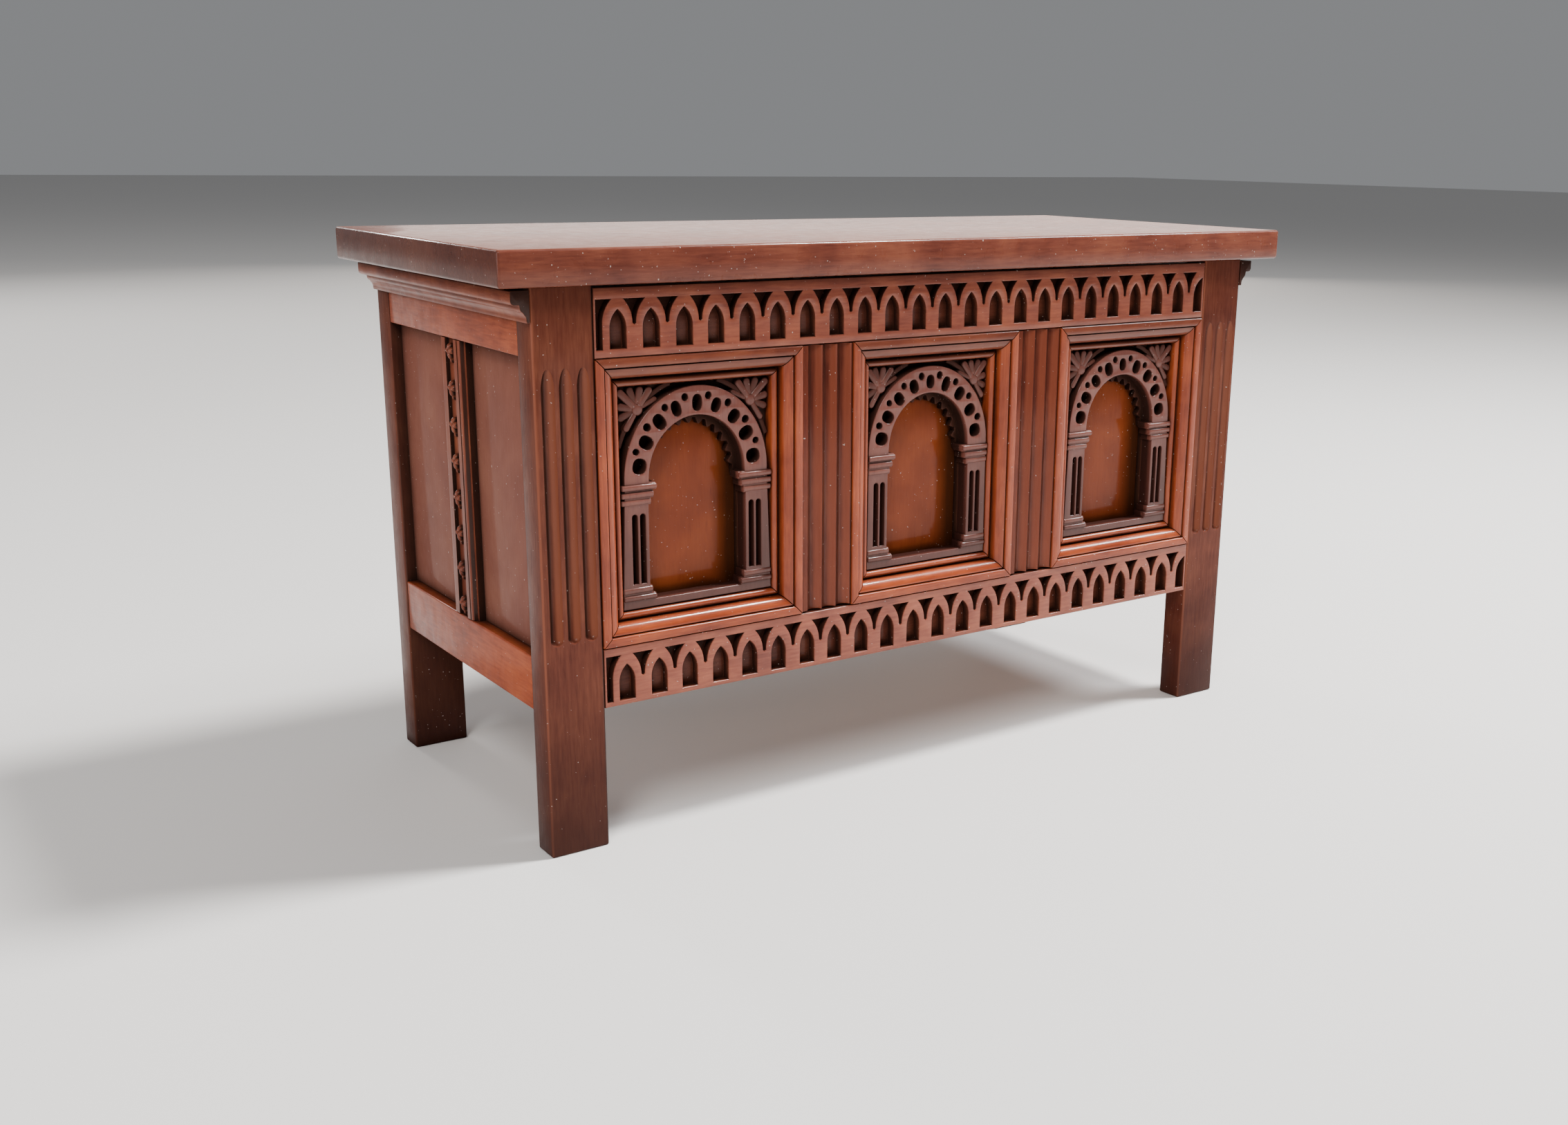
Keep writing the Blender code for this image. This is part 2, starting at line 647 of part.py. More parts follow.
def nails(side, x):
    """Two flat-headed nails on the outside of the body leaf."""
    spread = LEAF_LENGTH / 2 - 1.5
    for end, sign in (("a", -1), ("b", 1)):
        body_nail = rod(NAIL_RADIUS, NAIL_HEAD, 12, "Y")
        y = Y_BACK + 2 * HAIRLINE + LEAF_THICKNESS + NAIL_HEAD / 2
        at = (x + sign * spread, y, HINGE_Z - LEAF_HEIGHT * 0.62)
        add_object(f"hinge_{side}_body_nail_{end}", body_nail, BRASS, at)


def main():
    legs()
    arcade_rail("front_top_rail", TOP_RAIL_Z, TOP_LANCET_FOOT)
    arcade_rail("front_bottom_rail", BOTTOM_RAIL_Z, BOTTOM_LANCET_FOOT)
    front_muntins()
    bay_frames()
    front_panels()
    sides()
    back_and_floor()
    lid()
    for side, x in (("left", -HINGE_X), ("right", HINGE_X)):
        hinge(side, x)


main()
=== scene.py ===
"""The looks of the dolls' house coffer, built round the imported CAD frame.

Lengths are in millimetres and become metres where a mesh is placed. Depths are counted
backwards from the front of the legs. Positions come from the frame's own boxes.
"""

import json
import math
import random

import bmesh
import bpy
from mathutils import Matrix, Vector

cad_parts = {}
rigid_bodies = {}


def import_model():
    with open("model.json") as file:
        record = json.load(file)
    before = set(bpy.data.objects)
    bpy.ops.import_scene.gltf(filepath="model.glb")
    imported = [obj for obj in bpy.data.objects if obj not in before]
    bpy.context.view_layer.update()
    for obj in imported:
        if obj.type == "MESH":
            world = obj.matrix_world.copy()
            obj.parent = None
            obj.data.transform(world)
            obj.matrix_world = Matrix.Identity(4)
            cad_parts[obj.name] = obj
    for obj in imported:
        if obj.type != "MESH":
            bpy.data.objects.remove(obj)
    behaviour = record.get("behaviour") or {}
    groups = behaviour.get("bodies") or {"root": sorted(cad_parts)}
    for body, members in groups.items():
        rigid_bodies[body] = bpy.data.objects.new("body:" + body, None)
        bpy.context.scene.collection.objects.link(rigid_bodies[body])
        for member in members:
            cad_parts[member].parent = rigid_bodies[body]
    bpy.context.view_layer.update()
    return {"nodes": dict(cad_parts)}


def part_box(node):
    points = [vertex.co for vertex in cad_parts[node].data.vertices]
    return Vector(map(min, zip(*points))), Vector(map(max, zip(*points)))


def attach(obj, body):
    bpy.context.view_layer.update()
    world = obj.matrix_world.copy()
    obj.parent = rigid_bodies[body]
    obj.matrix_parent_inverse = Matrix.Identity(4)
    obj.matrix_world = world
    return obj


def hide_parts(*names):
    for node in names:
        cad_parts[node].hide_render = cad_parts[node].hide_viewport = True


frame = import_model()

MM = 0.001

EASE = 0.09
BAYS = ("left", "centre", "right")
BAY_PITCH = 30.1

# Arcaded rails
ARCADE_PITCH = 3.67
ARCADE_COUNT = 22
ARCADE_FIRST_X = -39.45
LANCET_WIDTH = 1.85
LANCET_RISE = 1.85
LANCET_HEIGHT = 3.85
SPANDREL_HALF = 1.15
SPANDREL_TIP = 0.18
SPANDREL_HEIGHT = 2.4
SPANDREL_FOOT = 2.45
SPANDREL_DROP = 0.12
ARCADE_CUT = 1.1
ARCADE_EASE = 0.1
ARCADE_MARGIN = 0.25
ARCADE_WANDER = 0.04
LANCET_WANDER = 0.06
TOP_LANCET_FOOT = 51.4
BOTTOM_LANCET_FOOT = 15.5

# Flutes
FLUTE_WIDTH = 1.45
FLUTE_CUT = 0.58
FLUTE_FADE = 3.2
FLUTE_PITCH = 1.87
FLUTE_OFFSET = 0.1
LEG_FLUTE_Z = (22.4, 50.0)
MUNTIN_FLUTE_WIDTH = 1.8
MUNTIN_FLUTE_CUT = 0.55
MUNTIN_FLUTE_PITCH = 1.87
MUNTIN_FLUTE_OFFSET = 0.25

# Bay mouldings
MOULDING_FRONT = -0.12
MOULDING_WIDTH = 3.05
MITRE_GAP = 0.035

# Pierced arches: heights above the floor, and widths from the bay's middle
SPRING_Z = 37.9
ARCH_STRETCH = 1.085
RING_OUTER = 8.45
RING_INNER = 5.65
LIP_TIP = 4.65
LIP_VALLEY = 5.2
LIP_TEETH = 13
SHAFT_INNER = 5.75
SILL_Z = 24.5
CAPITAL_Z = 37.0
FRET_FRONT = 1.5
FRET_LAYER = 1.8
FRET_EASE = 0.1
LIP_EASE = 0.08
LARGE_HOLES = 9
LARGE_HOLE = 0.82
SMALL_HOLE = 0.42
HOLE_SWEEP = 159.0
LARGE_HOLE_RADIUS = 6.8
SMALL_HOLE_RADIUS = 7.52
SLOT_PLACES = (6.45, 7.35)
SLOT_HALF = 0.31
SLOT_Z = (27.1, 34.1)
# One side of the opening, from the sill up: stepped base, shaft, stepped capital
OPENING_STEPS = [
    (5.1, 25.3), (5.1, 26.0), (5.5, 26.0), (5.5, 26.8), (SHAFT_INNER, 26.8), (SHAFT_INNER, 35.3),
    (5.5, 35.3), (5.5, 36.03), (5.2, 36.03), (5.2, 36.82), (4.87, 36.82), (4.87, 37.55),
]
BAND_EASE = 0.19
# Raised bands: inner edge, bottom, top, how proud
BANDS = [
    (4.85, 36.92, 37.5, 0.28), (5.18, 36.12, 36.74, 0.2), (5.47, 35.37, 35.97, 0.12),
    (5.45, 26.15, 26.75, 0.12), (5.05, 25.4, 25.95, 0.22),
]
LEAF_KNOT = (6.6, 45.0)
LEAF_KNOT_RADIUS = 0.62
LEAF_DEPTH = FRET_FRONT + 0.35
LEAF_TOP = 47.35
# Corner leaves: each lobe's direction in degrees, reach and width
LEAF_LOBES = [
    (126, 2.3, 0.8), (99, 2.3, 0.82), (72, 2.3, 0.82), (44, 2.6, 0.85), (12, 1.9, 0.8),
    (-22, 1.9, 0.78), (-56, 2.2, 0.7), (156, 2.2, 0.6),
]

# Sides
CHANNEL_WIDTH = 2.25
CHANNEL_DEPTH = 0.42
TREFOIL_COUNT = 8
TREFOIL_PITCH = 3.9
TREFOIL_TOP_Z = 49.5
# Each lobe's shift along Y and Z, its height above the channel, and its three radii
TREFOIL_LOBES = [
    (-0.42, 0.1, 0.2, (0.46, 0.38, 0.38)),
    (0.0, 0.5, 0.2, (0.46, 0.4, 0.4)),
    (0.42, 0.1, 0.2, (0.46, 0.38, 0.38)),
    (0.0, -0.25, 0.2, (0.46, 0.38, 0.62)),
    (0.0, -0.78, 0.1, (0.3, 0.18, 0.45)),
]

# Camera, found from the object's straight edges
CAMERA_MM = (-112.0, -162.875, 70.9)
CAMERA_YAW = 36.42
CAMERA_PITCH = 15.26
CAMERA_ROLL = 0.917
CAMERA_LENS = 37.23
CAMERA_SHIFT = (-0.0651, 0.0162)

# Stage
FLOOR_COLOUR = (0.62, 0.605, 0.59, 1.0)
SKY_COLOUR = (0.95, 0.97, 1.0, 1.0)
SKY_STRENGTH = 0.25
LAMP_TARGET = (0, 0, 0.035)
# Name, place in metres, width in metres, watts, colour
LAMPS = [
    ("key_light", (-0.34, -0.34, 0.46), 0.2, 2.7, (1.0, 0.97, 0.94)),
    ("edge_light", (0.24, -0.1, 0.46), 0.1, 6.0, (1.0, 0.98, 0.95)),
    ("right_light", (0.37, -0.13, 0.36), 0.14, 3.0, (0.95, 0.97, 1.0)),
    ("front_light", (-0.12, -0.62, 0.3), 0.4, 0.3, (1.0, 0.97, 0.94)),
    ("side_light", (-0.55, 0.0, 0.16), 0.4, 1.1, (0.97, 0.97, 1.0)),
    ("back_light", (0.42, 0.6, 0.17), 0.55, 1.1, (1.0, 0.90, 0.82)),
    ("rim_light", (-0.09, 0.66, 0.3), 0.12, 1.3, (1.0, 0.98, 0.96)),
]


def limits(node):
    """The node's box as three (low, high) pairs in millimetres."""
    low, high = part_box(node)
    return [(a / MM, b / MM) for a, b in zip(low, high)]


Y_FRONT = limits("leg_front_left")[1][0]


def front(depth):
    """The Y of a depth behind the front of the legs."""
    return Y_FRONT + depth


# Materials ---------------------------------------------------------------------------

# Near-black colour of the dark glazing, also laid as painted shade in recesses, on end faces and on
# flute walls
GLAZE_AND_SHADE_COLOUR = (0.016, 0.008, 0.006)
SPECK_COLOUR = (0.5, 0.42, 0.38)
SPECK_STRENGTH = 0.7
# Dust with painted sheen on faces that look up
DUST_AND_SHEEN_COLOUR = (0.42, 0.16, 0.10)

# How much finer the noise is across the grain than along it
FIBRE_STRETCH = 0.1
PORE_STRETCH = 0.05

# Painted shade and shadow, and wear with painted highlight, with lengths in millimetres
# Where across each bay the painted shadow starts and is darkest
PAINTED_SHADOW_SPAN = (2.8, 5.0)
# Painted shade past a depth: how far it takes to darken, and how dark
PAINTED_SHADE_SPAN = 0.6
PAINTED_SHADE_MOST = 0.93
# Wear with painted highlight along the edges: how far it reaches, and how light
EDGE_REACH = 0.2
EDGE_WEAR_AND_HIGHLIGHT = 0.35

# Lacquer on open wood, and where the glazing and painted shade lie
COAT = (0.34, 0.03)
COAT_ROUGHNESS = 0.09
SPECULAR = (0.09, 0.02)
GLAZE_ROUGHNESS = 0.2
GRAIN_HEIGHT = 0.07
TARNISH_HEIGHT = 0.03


def scaled(colour, factor, lift=0.0):
    """The colour made darker or lighter, and kept within range."""
    return tuple(min(1.0, c * factor + lift) for c in colour)


class Nodes:
    """A small helper that adds and links shader nodes."""

    def __init__(self, name):
        self.material = bpy.data.materials.new(name)
        self.material.use_nodes = True
        self.tree = self.material.node_tree
        self.shader = self.tree.nodes["Principled BSDF"]

    def add(self, kind, inputs=None, **settings):
        node = self.tree.nodes.new(kind)
        for key, value in settings.items():
            setattr(node, key, value)
        for key, value in (inputs or {}).items():
            self.put(node.inputs[key], value)
        return node

    def put(self, socket, value):
        if isinstance(value, bpy.types.NodeSocket):
            self.tree.links.new(value, socket)
        else:
            socket.default_value = value

    def mapped(self, scale, offset=(0, 0, 0)):
        """Object coordinates with a scale per millimetre."""
        coordinates = self.add("ShaderNodeTexCoord").outputs["Object"]
        per_mm = tuple(s / MM for s in scale)
        inputs = {"Vector": coordinates, "Scale": per_mm, "Location": offset}
        return self.add("ShaderNodeMapping", inputs).outputs[0]

    def split(self, kind):
        """The X, Y and Z of the position (Object) or of the face direction (Normal)."""
        vector = self.add("ShaderNodeTexCoord").outputs[kind]
        return self.add("ShaderNodeSeparateXYZ", {0: vector}).outputs

    def noise(self, vector, scale, detail=2.0, distortion=0.0, roughness=0.5):
        inputs = {"Vector": vector, "Scale": scale, "Detail": detail}
        inputs.update({"Distortion": distortion, "Roughness": roughness})
        return self.add("ShaderNodeTexNoise", inputs).outputs["Fac"]

    def ramp(self, value, stops):
        node = self.add("ShaderNodeValToRGB", {"Fac": value})
        elements = node.color_ramp.elements
        while len(elements) < len(stops):
            elements.new(0.5)
        for element, (position, colour) in zip(elements, stops):
            element.position = position
            element.color = (*colour, 1.0)
        return node.outputs["Color"]

    def spread(self, value, low, high, to_low=0.0, to_high=1.0):
        """The value's span from low to high, stretched to another span and clamped."""
        inputs = {"Value": value, "From Min": low, "From Max": high}
        inputs.update({"To Min": to_low, "To Max": to_high})
        return self.add("ShaderNodeMapRange", inputs).outputs["Result"]

    def mix(self, factor, first, second):
        node = self.add("ShaderNodeMix", data_type="RGBA")
        for socket, value in ((0, factor), (6, first), (7, second)):
            if isinstance(value, tuple):
                value = (*value, 1.0)
            self.put(node.inputs[socket], value)
        return node.outputs[2]

    def math(self, operation, first, second):
        node = self.add("ShaderNodeMath", operation=operation)
        self.put(node.inputs[0], first)
        self.put(node.inputs[1], second)
        return node.outputs[0]


def stained_wood(name, mid, soft, along, offset, look):
    """Fine-grained stained and lacquered wood. along is the axis that the grain runs on.

    soft scales the contrast of the figure, and look holds this kind's own WOOD_DEFAULTS.
    """
    look = {**WOOD_DEFAULTS, **look}
    dark = tuple(c * (1 - soft * less) for c, less in zip(mid, FIGURE_DARKER))
    light = tuple(c * (1 + soft * more) for c, more in zip(mid, FIGURE_LIGHTER))
    glaze_and_shade_colour, shine, gloss, figure = look["glaze_and_shade_colour"], look["shine"], look["gloss"], look["figure"]
    n = Nodes(name)

    # Figure: fibres and pores along the grain, with soft clouds across it
    stretch = [1.0, 1.0, 1.0]
    stretch["XYZ".index(along)] = FIBRE_STRETCH
    place = (offset, offset * 1.7, offset * 0.6)
    fibre = n.noise(n.mapped(stretch, place), 3.4, 6.0, 0.25, 0.6)
    stretch["XYZ".index(along)] = PORE_STRETCH
    pores = n.noise(n.mapped(stretch, place), 8.0, 2.0, 0.1)
    cloud = n.noise(n.mapped((0.13, 0.13, 0.13), place), 1.0, 3.0, 0.5)
    blotch = n.noise(n.mapped((0.6, 0.6, 0.45), place), 1.0, 4.0, 0.3)
    tone = n.math("ADD", n.math("MULTIPLY", fibre, figure), n.math("MULTIPLY", cloud, 1 - figure))
    wood = n.ramp(tone, [(0.34, dark), (0.5, mid), (0.66, light)])
    wood = n.mix(n.spread(blotch, 0.5, 0.8, 0.0, 0.25), wood, dark)
    wood = n.mix(n.spread(pores, 0.64, 0.74, 0.0, 0.3), wood, scaled(dark, 0.4))
    # End faces darker: end grain, and painted shade on faces turned to the front
    for axis in look["ends"]:
        square = n.math("ABSOLUTE", n.split("Normal")[axis], 0.0)
        wood = n.mix(n.spread(square, 0.7, 0.95, 0.0, look["end_grain_and_shade"]), wood, glaze_and_shade_colour)

    # Dark glazing and painted shade in the recesses
    reach = {"Distance": look["reach"] * MM}
    cavity = n.add("ShaderNodeAmbientOcclusion", reach, samples=8).outputs["AO"]
    sunk = n.spread(cavity, 0.9, look["open_to"], 0.0, look["recess"])
    # Painted shade: everything past a given depth turns dark
    if look["painted_shade_from"]:
        start = front(look["painted_shade_from"]) * MM
        end = front(look["painted_shade_from"] + PAINTED_SHADE_SPAN) * MM
        deep = n.spread(n.split("Object")["Y"], start, end, 0.0, PAINTED_SHADE_MOST)
        sunk = n.math("MAXIMUM", sunk, deep)
    # Painted shadow at the right of each bay
    if look["painted_bay_shadow"]:
        half_pitch = BAY_PITCH / 2 * MM
        inputs = {0: n.split("Object")["X"], 1: half_pitch, 2: -half_pitch}
        in_bay = n.add("ShaderNodeMath", inputs, operation="WRAP").outputs[0]
        start, end = (x * MM for x in PAINTED_SHADOW_SPAN)
        sunk = n.math("MAXIMUM", sunk, n.spread(in_bay, start, end, 0.0, look["painted_bay_shadow"]))
    wood = n.mix(sunk, wood, glaze_and_shade_colour)

    # Painted light and shade on the sloping flute walls, painted shade lower down, and wear with
    # painted highlight along the edges
    if look["painted_slant_light"]:
        facing = n.split("Normal")
        slant = n.math("MULTIPLY", facing["X"], n.math("MULTIPLY", facing["Y"], -2.0))
        wood = n.mix(n.spread(slant, 0.15, 0.8, 0.0, look["painted_slant_light"]), wood, glaze_and_shade_colour)
        wood = n.mix(n.spread(slant, -0.15, -0.8, 0.0, look["painted_slant_light"]), wood, scaled(light, 1.5))
    if look["painted_foot_shade"]:
        low, high = (z * MM for z in look["foot_from"])
        shade = n.spread(n.split("Object")["Z"], high, low, 0.0, look["painted_foot_shade"])
        wood = n.mix(shade, wood, scaled(dark, 0.3))
    near = {"Distance": EDGE_REACH * MM}
    rim = n.add("ShaderNodeAmbientOcclusion", near, samples=5, inside=True).outputs["AO"]
    edge = n.spread(rim, 0.6, 0.25, 0.0, EDGE_WEAR_AND_HIGHLIGHT)
    wear_and_highlight = n.math("MULTIPLY", edge, n.spread(blotch, 0.35, 0.6, 0.1, 1.0))
    wood = n.mix(wear_and_highlight, wood, scaled(light, 1.5, 0.005))

    # Specks, and dust with painted sheen on the faces that look up
    dust = n.noise(n.mapped((1.0, 1.0, 1.0), (offset + 3, 1, 2)), 4.0, 1.0)
    wood = n.mix(n.spread(dust, 0.765, 0.79, 0.0, SPECK_STRENGTH), wood, SPECK_COLOUR)
    if look["dust_and_sheen"]:
        upward = n.spread(n.split("Normal")["Z"], 0.7, 0.98, 0.0, look["dust_and_sheen"])
        wood = n.mix(upward, wood, DUST_AND_SHEEN_COLOUR)
    n.put(n.shader.inputs["Base Color"], wood)

    # Lacquer: thinner and duller where the glazing and painted shade lie
    rough = n.spread(blotch, 0.3, 0.7, gloss - 0.06, gloss + 0.08)
    rough = n.math("ADD", rough, n.math("MULTIPLY", sunk, GLAZE_ROUGHNESS))
    coat = n.spread(sunk, 0.1, 0.75, *(c * shine for c in COAT))
    specular = n.spread(sunk, 0.1, 0.75, *(s * shine for s in SPECULAR))
    n.put(n.shader.inputs["Roughness"], rough)
    n.put(n.shader.inputs["Coat Weight"], coat)
    n.put(n.shader.inputs["Specular IOR Level"], specular)
    n.shader.inputs["Coat Roughness"].default_value = COAT_ROUGHNESS
    height = n.math("ADD", n.math("MULTIPLY", fibre, 0.5), n.math("MULTIPLY", blotch, 0.8))
    relief = {"Height": height, "Distance": GRAIN_HEIGHT * MM, "Strength": 0.5}
    n.put(n.shader.inputs["Normal"], n.add("ShaderNodeBump", relief).outputs[0])
    return n.material


def metal(name, colour, dark):
    """Old brass: dull, with darker tarnish in patches."""
    n = Nodes(name)
    patches = n.noise(n.mapped((1, 1, 1)), 0.7, 3.0)
    n.put(n.shader.inputs["Base Color"], n.mix(n.spread(patches, 0.4, 0.65), colour, dark))
    n.put(n.shader.inputs["Roughness"], n.spread(patches, 0.3, 0.7, 0.28, 0.5))
    n.shader.inputs["Metallic"].default_value = 1.0
    relief = {"Height": patches, "Distance": TARNISH_HEIGHT * MM, "Strength": 0.4}
    n.put(n.shader.inputs["Normal"], n.add("ShaderNodeBump", relief).outputs[0])
    return n.material


WOOD_COLOURS = {
    "leg": (0.098, 0.0270, 0.0160),
    "back_leg": (0.100, 0.0290, 0.0170),
    "rail": (0.200, 0.0490, 0.0260),
    "frame": (0.240, 0.0470, 0.0165),
    "side_muntin": (0.160, 0.0400, 0.0210),
    "moulding": (0.230, 0.0405, 0.0120),
    # The top strips darker than the rest: painted shade under the lid's overhang
    "top_moulding": (0.138, 0.0330, 0.0160),
    "muntin": (0.103, 0.0230, 0.0125),
    "carved": (0.141, 0.0465, 0.0345),
    # The lip darker than the carving: its glazing, and painted shade deep behind the ring
    "lip": (0.060, 0.020, 0.012),
    "ground": (0.180, 0.0350, 0.0100),
    # Purple-brown, lifted by a painted reflection of the surroundings
    "panel": (0.175, 0.0640, 0.0440),
    "cornice": (0.185, 0.042, 0.018),
    "lid": (0.118, 0.0315, 0.0185),
    "bare": (0.26, 0.125, 0.065),
}

# How much darker and lighter the figure is than the mid colour, by channel
FIGURE_DARKER = (0.38, 0.45, 0.4)
FIGURE_LIGHTER = (0.38, 0.55, 0.45)
FIGURE_CONTRAST = {"panel": 0.35, "ground": 0.6, "carved": 0.5}

# ends: axes whose end faces are darker, by end_grain_and_shade: end grain, and painted shade on
# faces turned to the front. reach: how far, in millimetres, a recess is felt, open_to: the openness
# at which it is darkest, recess: how dark its glazing and painted shade are.
# painted_shade_from: the depth past which everything turns dark as painted shade. figure: share of
# fibre in the grain. painted_foot_shade: painted shade from the second to the first height of
# foot_from. painted_bay_shadow: painted shadow at the right of each bay.
# painted_slant_light: painted light and shade that set flute walls apart.
WOOD_DEFAULTS = {
    "gloss": 0.34,
    "shine": 1.0,
    "figure": 0.45,
    "glaze_and_shade_colour": GLAZE_AND_SHADE_COLOUR,
    "ends": "",
    "end_grain_and_shade": 0.45,
    "reach": 2.2,
    "open_to": 0.42,
    "recess": 0.92,
    "painted_shade_from": 0.0,
    "painted_bay_shadow": 0.0,
    "painted_slant_light": 0.0,
    "painted_foot_shade": 0.0,
    "foot_from": (2.0, 20.0),
    "dust_and_sheen": 0.0,
}
MOULDING_LOOK = {"reach": 0.8, "open_to": 0.25, "recess": 0.9, "shine": 1.3}
WOOD_LOOKS = {
    # lid: end grain darker, dust with painted sheen on top
    "lid": {"gloss": 0.3, "ends": "X", "dust_and_sheen": 0.13},
    # legs: painted light and shade on the flute walls, painted shade lower down
    "leg": {
        "reach": 1.0, "open_to": 0.2, "recess": 0.25, "shine": 0.4, "painted_foot_shade": 0.72,
        "painted_slant_light": 0.8,
    },
    # back legs: painted shade on the faces turned to the front and back, and lower down
    "back_leg": {"ends": "Y", "end_grain_and_shade": 0.5, "shine": 0.4, "painted_foot_shade": 0.5},
    "rail": {"shine": 1.5},
    "frame": {"shine": 0.55},
    # side muntins: painted shade on the faces turned to the front and back
    "side_muntin": {"ends": "Y", "end_grain_and_shade": 0.85, "shine": 0.6},
    # muntins: painted light and shade on the flute walls
    "muntin": {"reach": 1.0, "open_to": 0.2, "recess": 0.3, "shine": 0.6, "painted_slant_light": 0.6},
    "moulding": MOULDING_LOOK,
    "top_moulding": MOULDING_LOOK,
    # cornice: end grain at the ends, darkened further as painted shade under the lid
    "cornice": {"ends": "Y", "end_grain_and_shade": 0.9, "shine": 0.7},
    # carved: painted shade past a depth in the niche, and painted shade lower down
    "carved": {
        "reach": 2.0, "open_to": 0.35, "painted_shade_from": 1.62, "shine": 1.3, "painted_foot_shade": 0.6,
        "foot_from": (30.0, 38.5),
    },
    "lip": {"reach": 3.0, "open_to": 0.55, "shine": 0.3},
    "panel": {"reach": 3.2, "open_to": 0.35, "gloss": 0.5, "figure": 0.15, "shine": 0.3},
    # ground: painted shadow at the right of each bay
    "ground": {
        "reach": 1.1, "recess": 0.8, "glaze_and_shade_colour": (0.02, 0.009, 0.004), "figure": 0.22,
        "shine": 0.6, "painted_bay_shadow": 0.85,
    },
    "bare": {"gloss": 0.62, "recess": 0.5, "glaze_and_shade_colour": (0.05, 0.025, 0.015)},
}
GRAIN_STEP = 3.7

woods = {}


def wood(kind, along):
    """One material for each kind of wood and grain direction, made when first asked for."""
    key = (kind, along)
    if key not in woods:
        name = f"{kind}_wood_{along}"
        soft = FIGURE_CONTRAST.get(kind, 1.0)
        offset = len(woods) * GRAIN_STEP
        look = WOOD_LOOKS[kind]
        woods[key] = stained_wood(name, WOOD_COLOURS[kind], soft, along, offset, look)
    return woods[key]


brass = metal("old_brass", (0.42, 0.29, 0.13), (0.22, 0.14, 0.06))


# Mesh helpers ------------------------------------------------------------------------


def arc(centre, radius, start, end, steps):
    """Points on a circle, between two angles in degrees."""
    angles = [math.radians(start + (end - start) * i / steps) for i in range(steps + 1)]
    return [(centre[0] + radius * math.cos(a), centre[1] + radius * math.sin(a)) for a in angles]


def struck(run, rise):
    """Radius and sweep of an arc that sets out along the rise and bends aside by run."""
    radius = (run**2 + rise**2) / (2 * run)
    return radius, math.degrees(math.asin(rise / radius))


def rectangle(u, v):
    """Corners between two pairs of limits."""
    return [(u[0], v[0]), (u[1], v[0]), (u[1], v[1]), (u[0], v[1])]


def plate(outlines, thickness, ease=EASE, steps=2):
    """The outlines filled, less those inside them, as a plate centred on local Z."""
    curve = bpy.data.curves.new("outline", "CURVE")
    curve.dimensions = "2D"
    curve.fill_mode = "BOTH"
    curve.extrude = thickness / 2 - ease
    curve.bevel_depth = ease
    curve.offset = -ease
    curve.bevel_resolution = steps
    for outline in outlines:
        spline = curve.splines.new("POLY")
        spline.points.add(len(outline) - 1)
        spline.use_cyclic_u = True
        for point, (u, v) in zip(spline.points, outline):
            point.co = (u, v, 0, 1)
    guide = bpy.data.objects.new("outline", curve)
    bpy.context.scene.collection.objects.link(guide)
    graph = bpy.context.evaluated_depsgraph_get()
    mesh = bpy.data.meshes.new_from_object(guide.evaluated_get(graph))
    bpy.data.objects.remove(guide)
    bm = bmesh.new()
    bm.from_mesh(mesh)
    bmesh.ops.remove_doubles(bm, verts=bm.verts, dist=0.002)
    bmesh.ops.recalc_face_normals(bm, faces=bm.faces)
    bm.to_mesh(mesh)
    bm.free()
    return mesh


STAND = Matrix.Rotation(math.pi / 2, 4, "X")


def upright(outlines, y, ease=EASE, steps=2):
    """A plate whose outlines are (x, z), between two y limits."""
    mesh = plate(outlines, y[1] - y[0], ease, steps)
    mesh.transform(Matrix.Translation((0, sum(y) / 2, 0)) @ STAND)
    return mesh


def lying(outlines, z, ease=EASE):
    """A plate whose outlines are (x, y), between two z limits."""
    mesh = plate(outlines, z[1] - z[0], ease)
    mesh.transform(Matrix.Translation((0, 0, sum(z) / 2)))
    return mesh


def board(x, y, z, ease=EASE, steps=2):
    """A board between pairs of limits with rounded edges."""
    bm = bmesh.new()
    bmesh.ops.create_cube(bm, size=1.0)
    bmesh.ops.scale(bm, vec=(x[1] - x[0], y[1] - y[0], z[1] - z[0]), verts=bm.verts)
    bmesh.ops.translate(bm, vec=(sum(x) / 2, sum(y) / 2, sum(z) / 2), verts=bm.verts)
    bmesh.ops.bevel(bm, geom=bm.edges[:], offset=ease, segments=steps, profile=0.5, affect="EDGES")
    mesh = bpy.data.meshes.new("board")
    bm.to_mesh(mesh)
    bm.free()
    return mesh


def ball(centre, radii, segments=16):
    """A stretched sphere."""
    bm = bmesh.new()
    bmesh.ops.create_uvsphere(bm, u_segments=segments, v_segments=segments // 2, radius=1.0)
    mesh = bpy.data.meshes.new("ball")
    bm.to_mesh(mesh)
    bm.free()
    mesh.transform(Matrix.Diagonal((*radii, 1.0)))
    mesh.transform(Matrix.Translation(centre))
    return mesh


def rod(radius, length, centre):
    """A round pin along X with eased rims."""
    bm = bmesh.new()
    bmesh.ops.create_cone(
        bm, cap_ends=True, segments=24, radius1=radius, radius2=radius, depth=length
    )
    rims = [e for e in bm.edges if abs(e.verts[0].co.z - e.verts[1].co.z) < 1e-6]
    bmesh.ops.bevel(bm, geom=rims, offset=0.08, segments=2, profile=0.5, affect="EDGES")
    mesh = bpy.data.meshes.new("rod")
    bm.to_mesh(mesh)
    bm.free()
    mesh.transform(Matrix.Translation(centre) @ Matrix.Rotation(math.pi / 2, 4, "Y"))
    return mesh


def joined(meshes):
    """One mesh that holds all of them."""
    bm = bmesh.new()
    for mesh in meshes:
        bm.from_mesh(mesh)
        bpy.data.meshes.remove(mesh)
    made = bpy.data.meshes.new("joined")
    bm.to_mesh(made)
    bm.free()
    return made


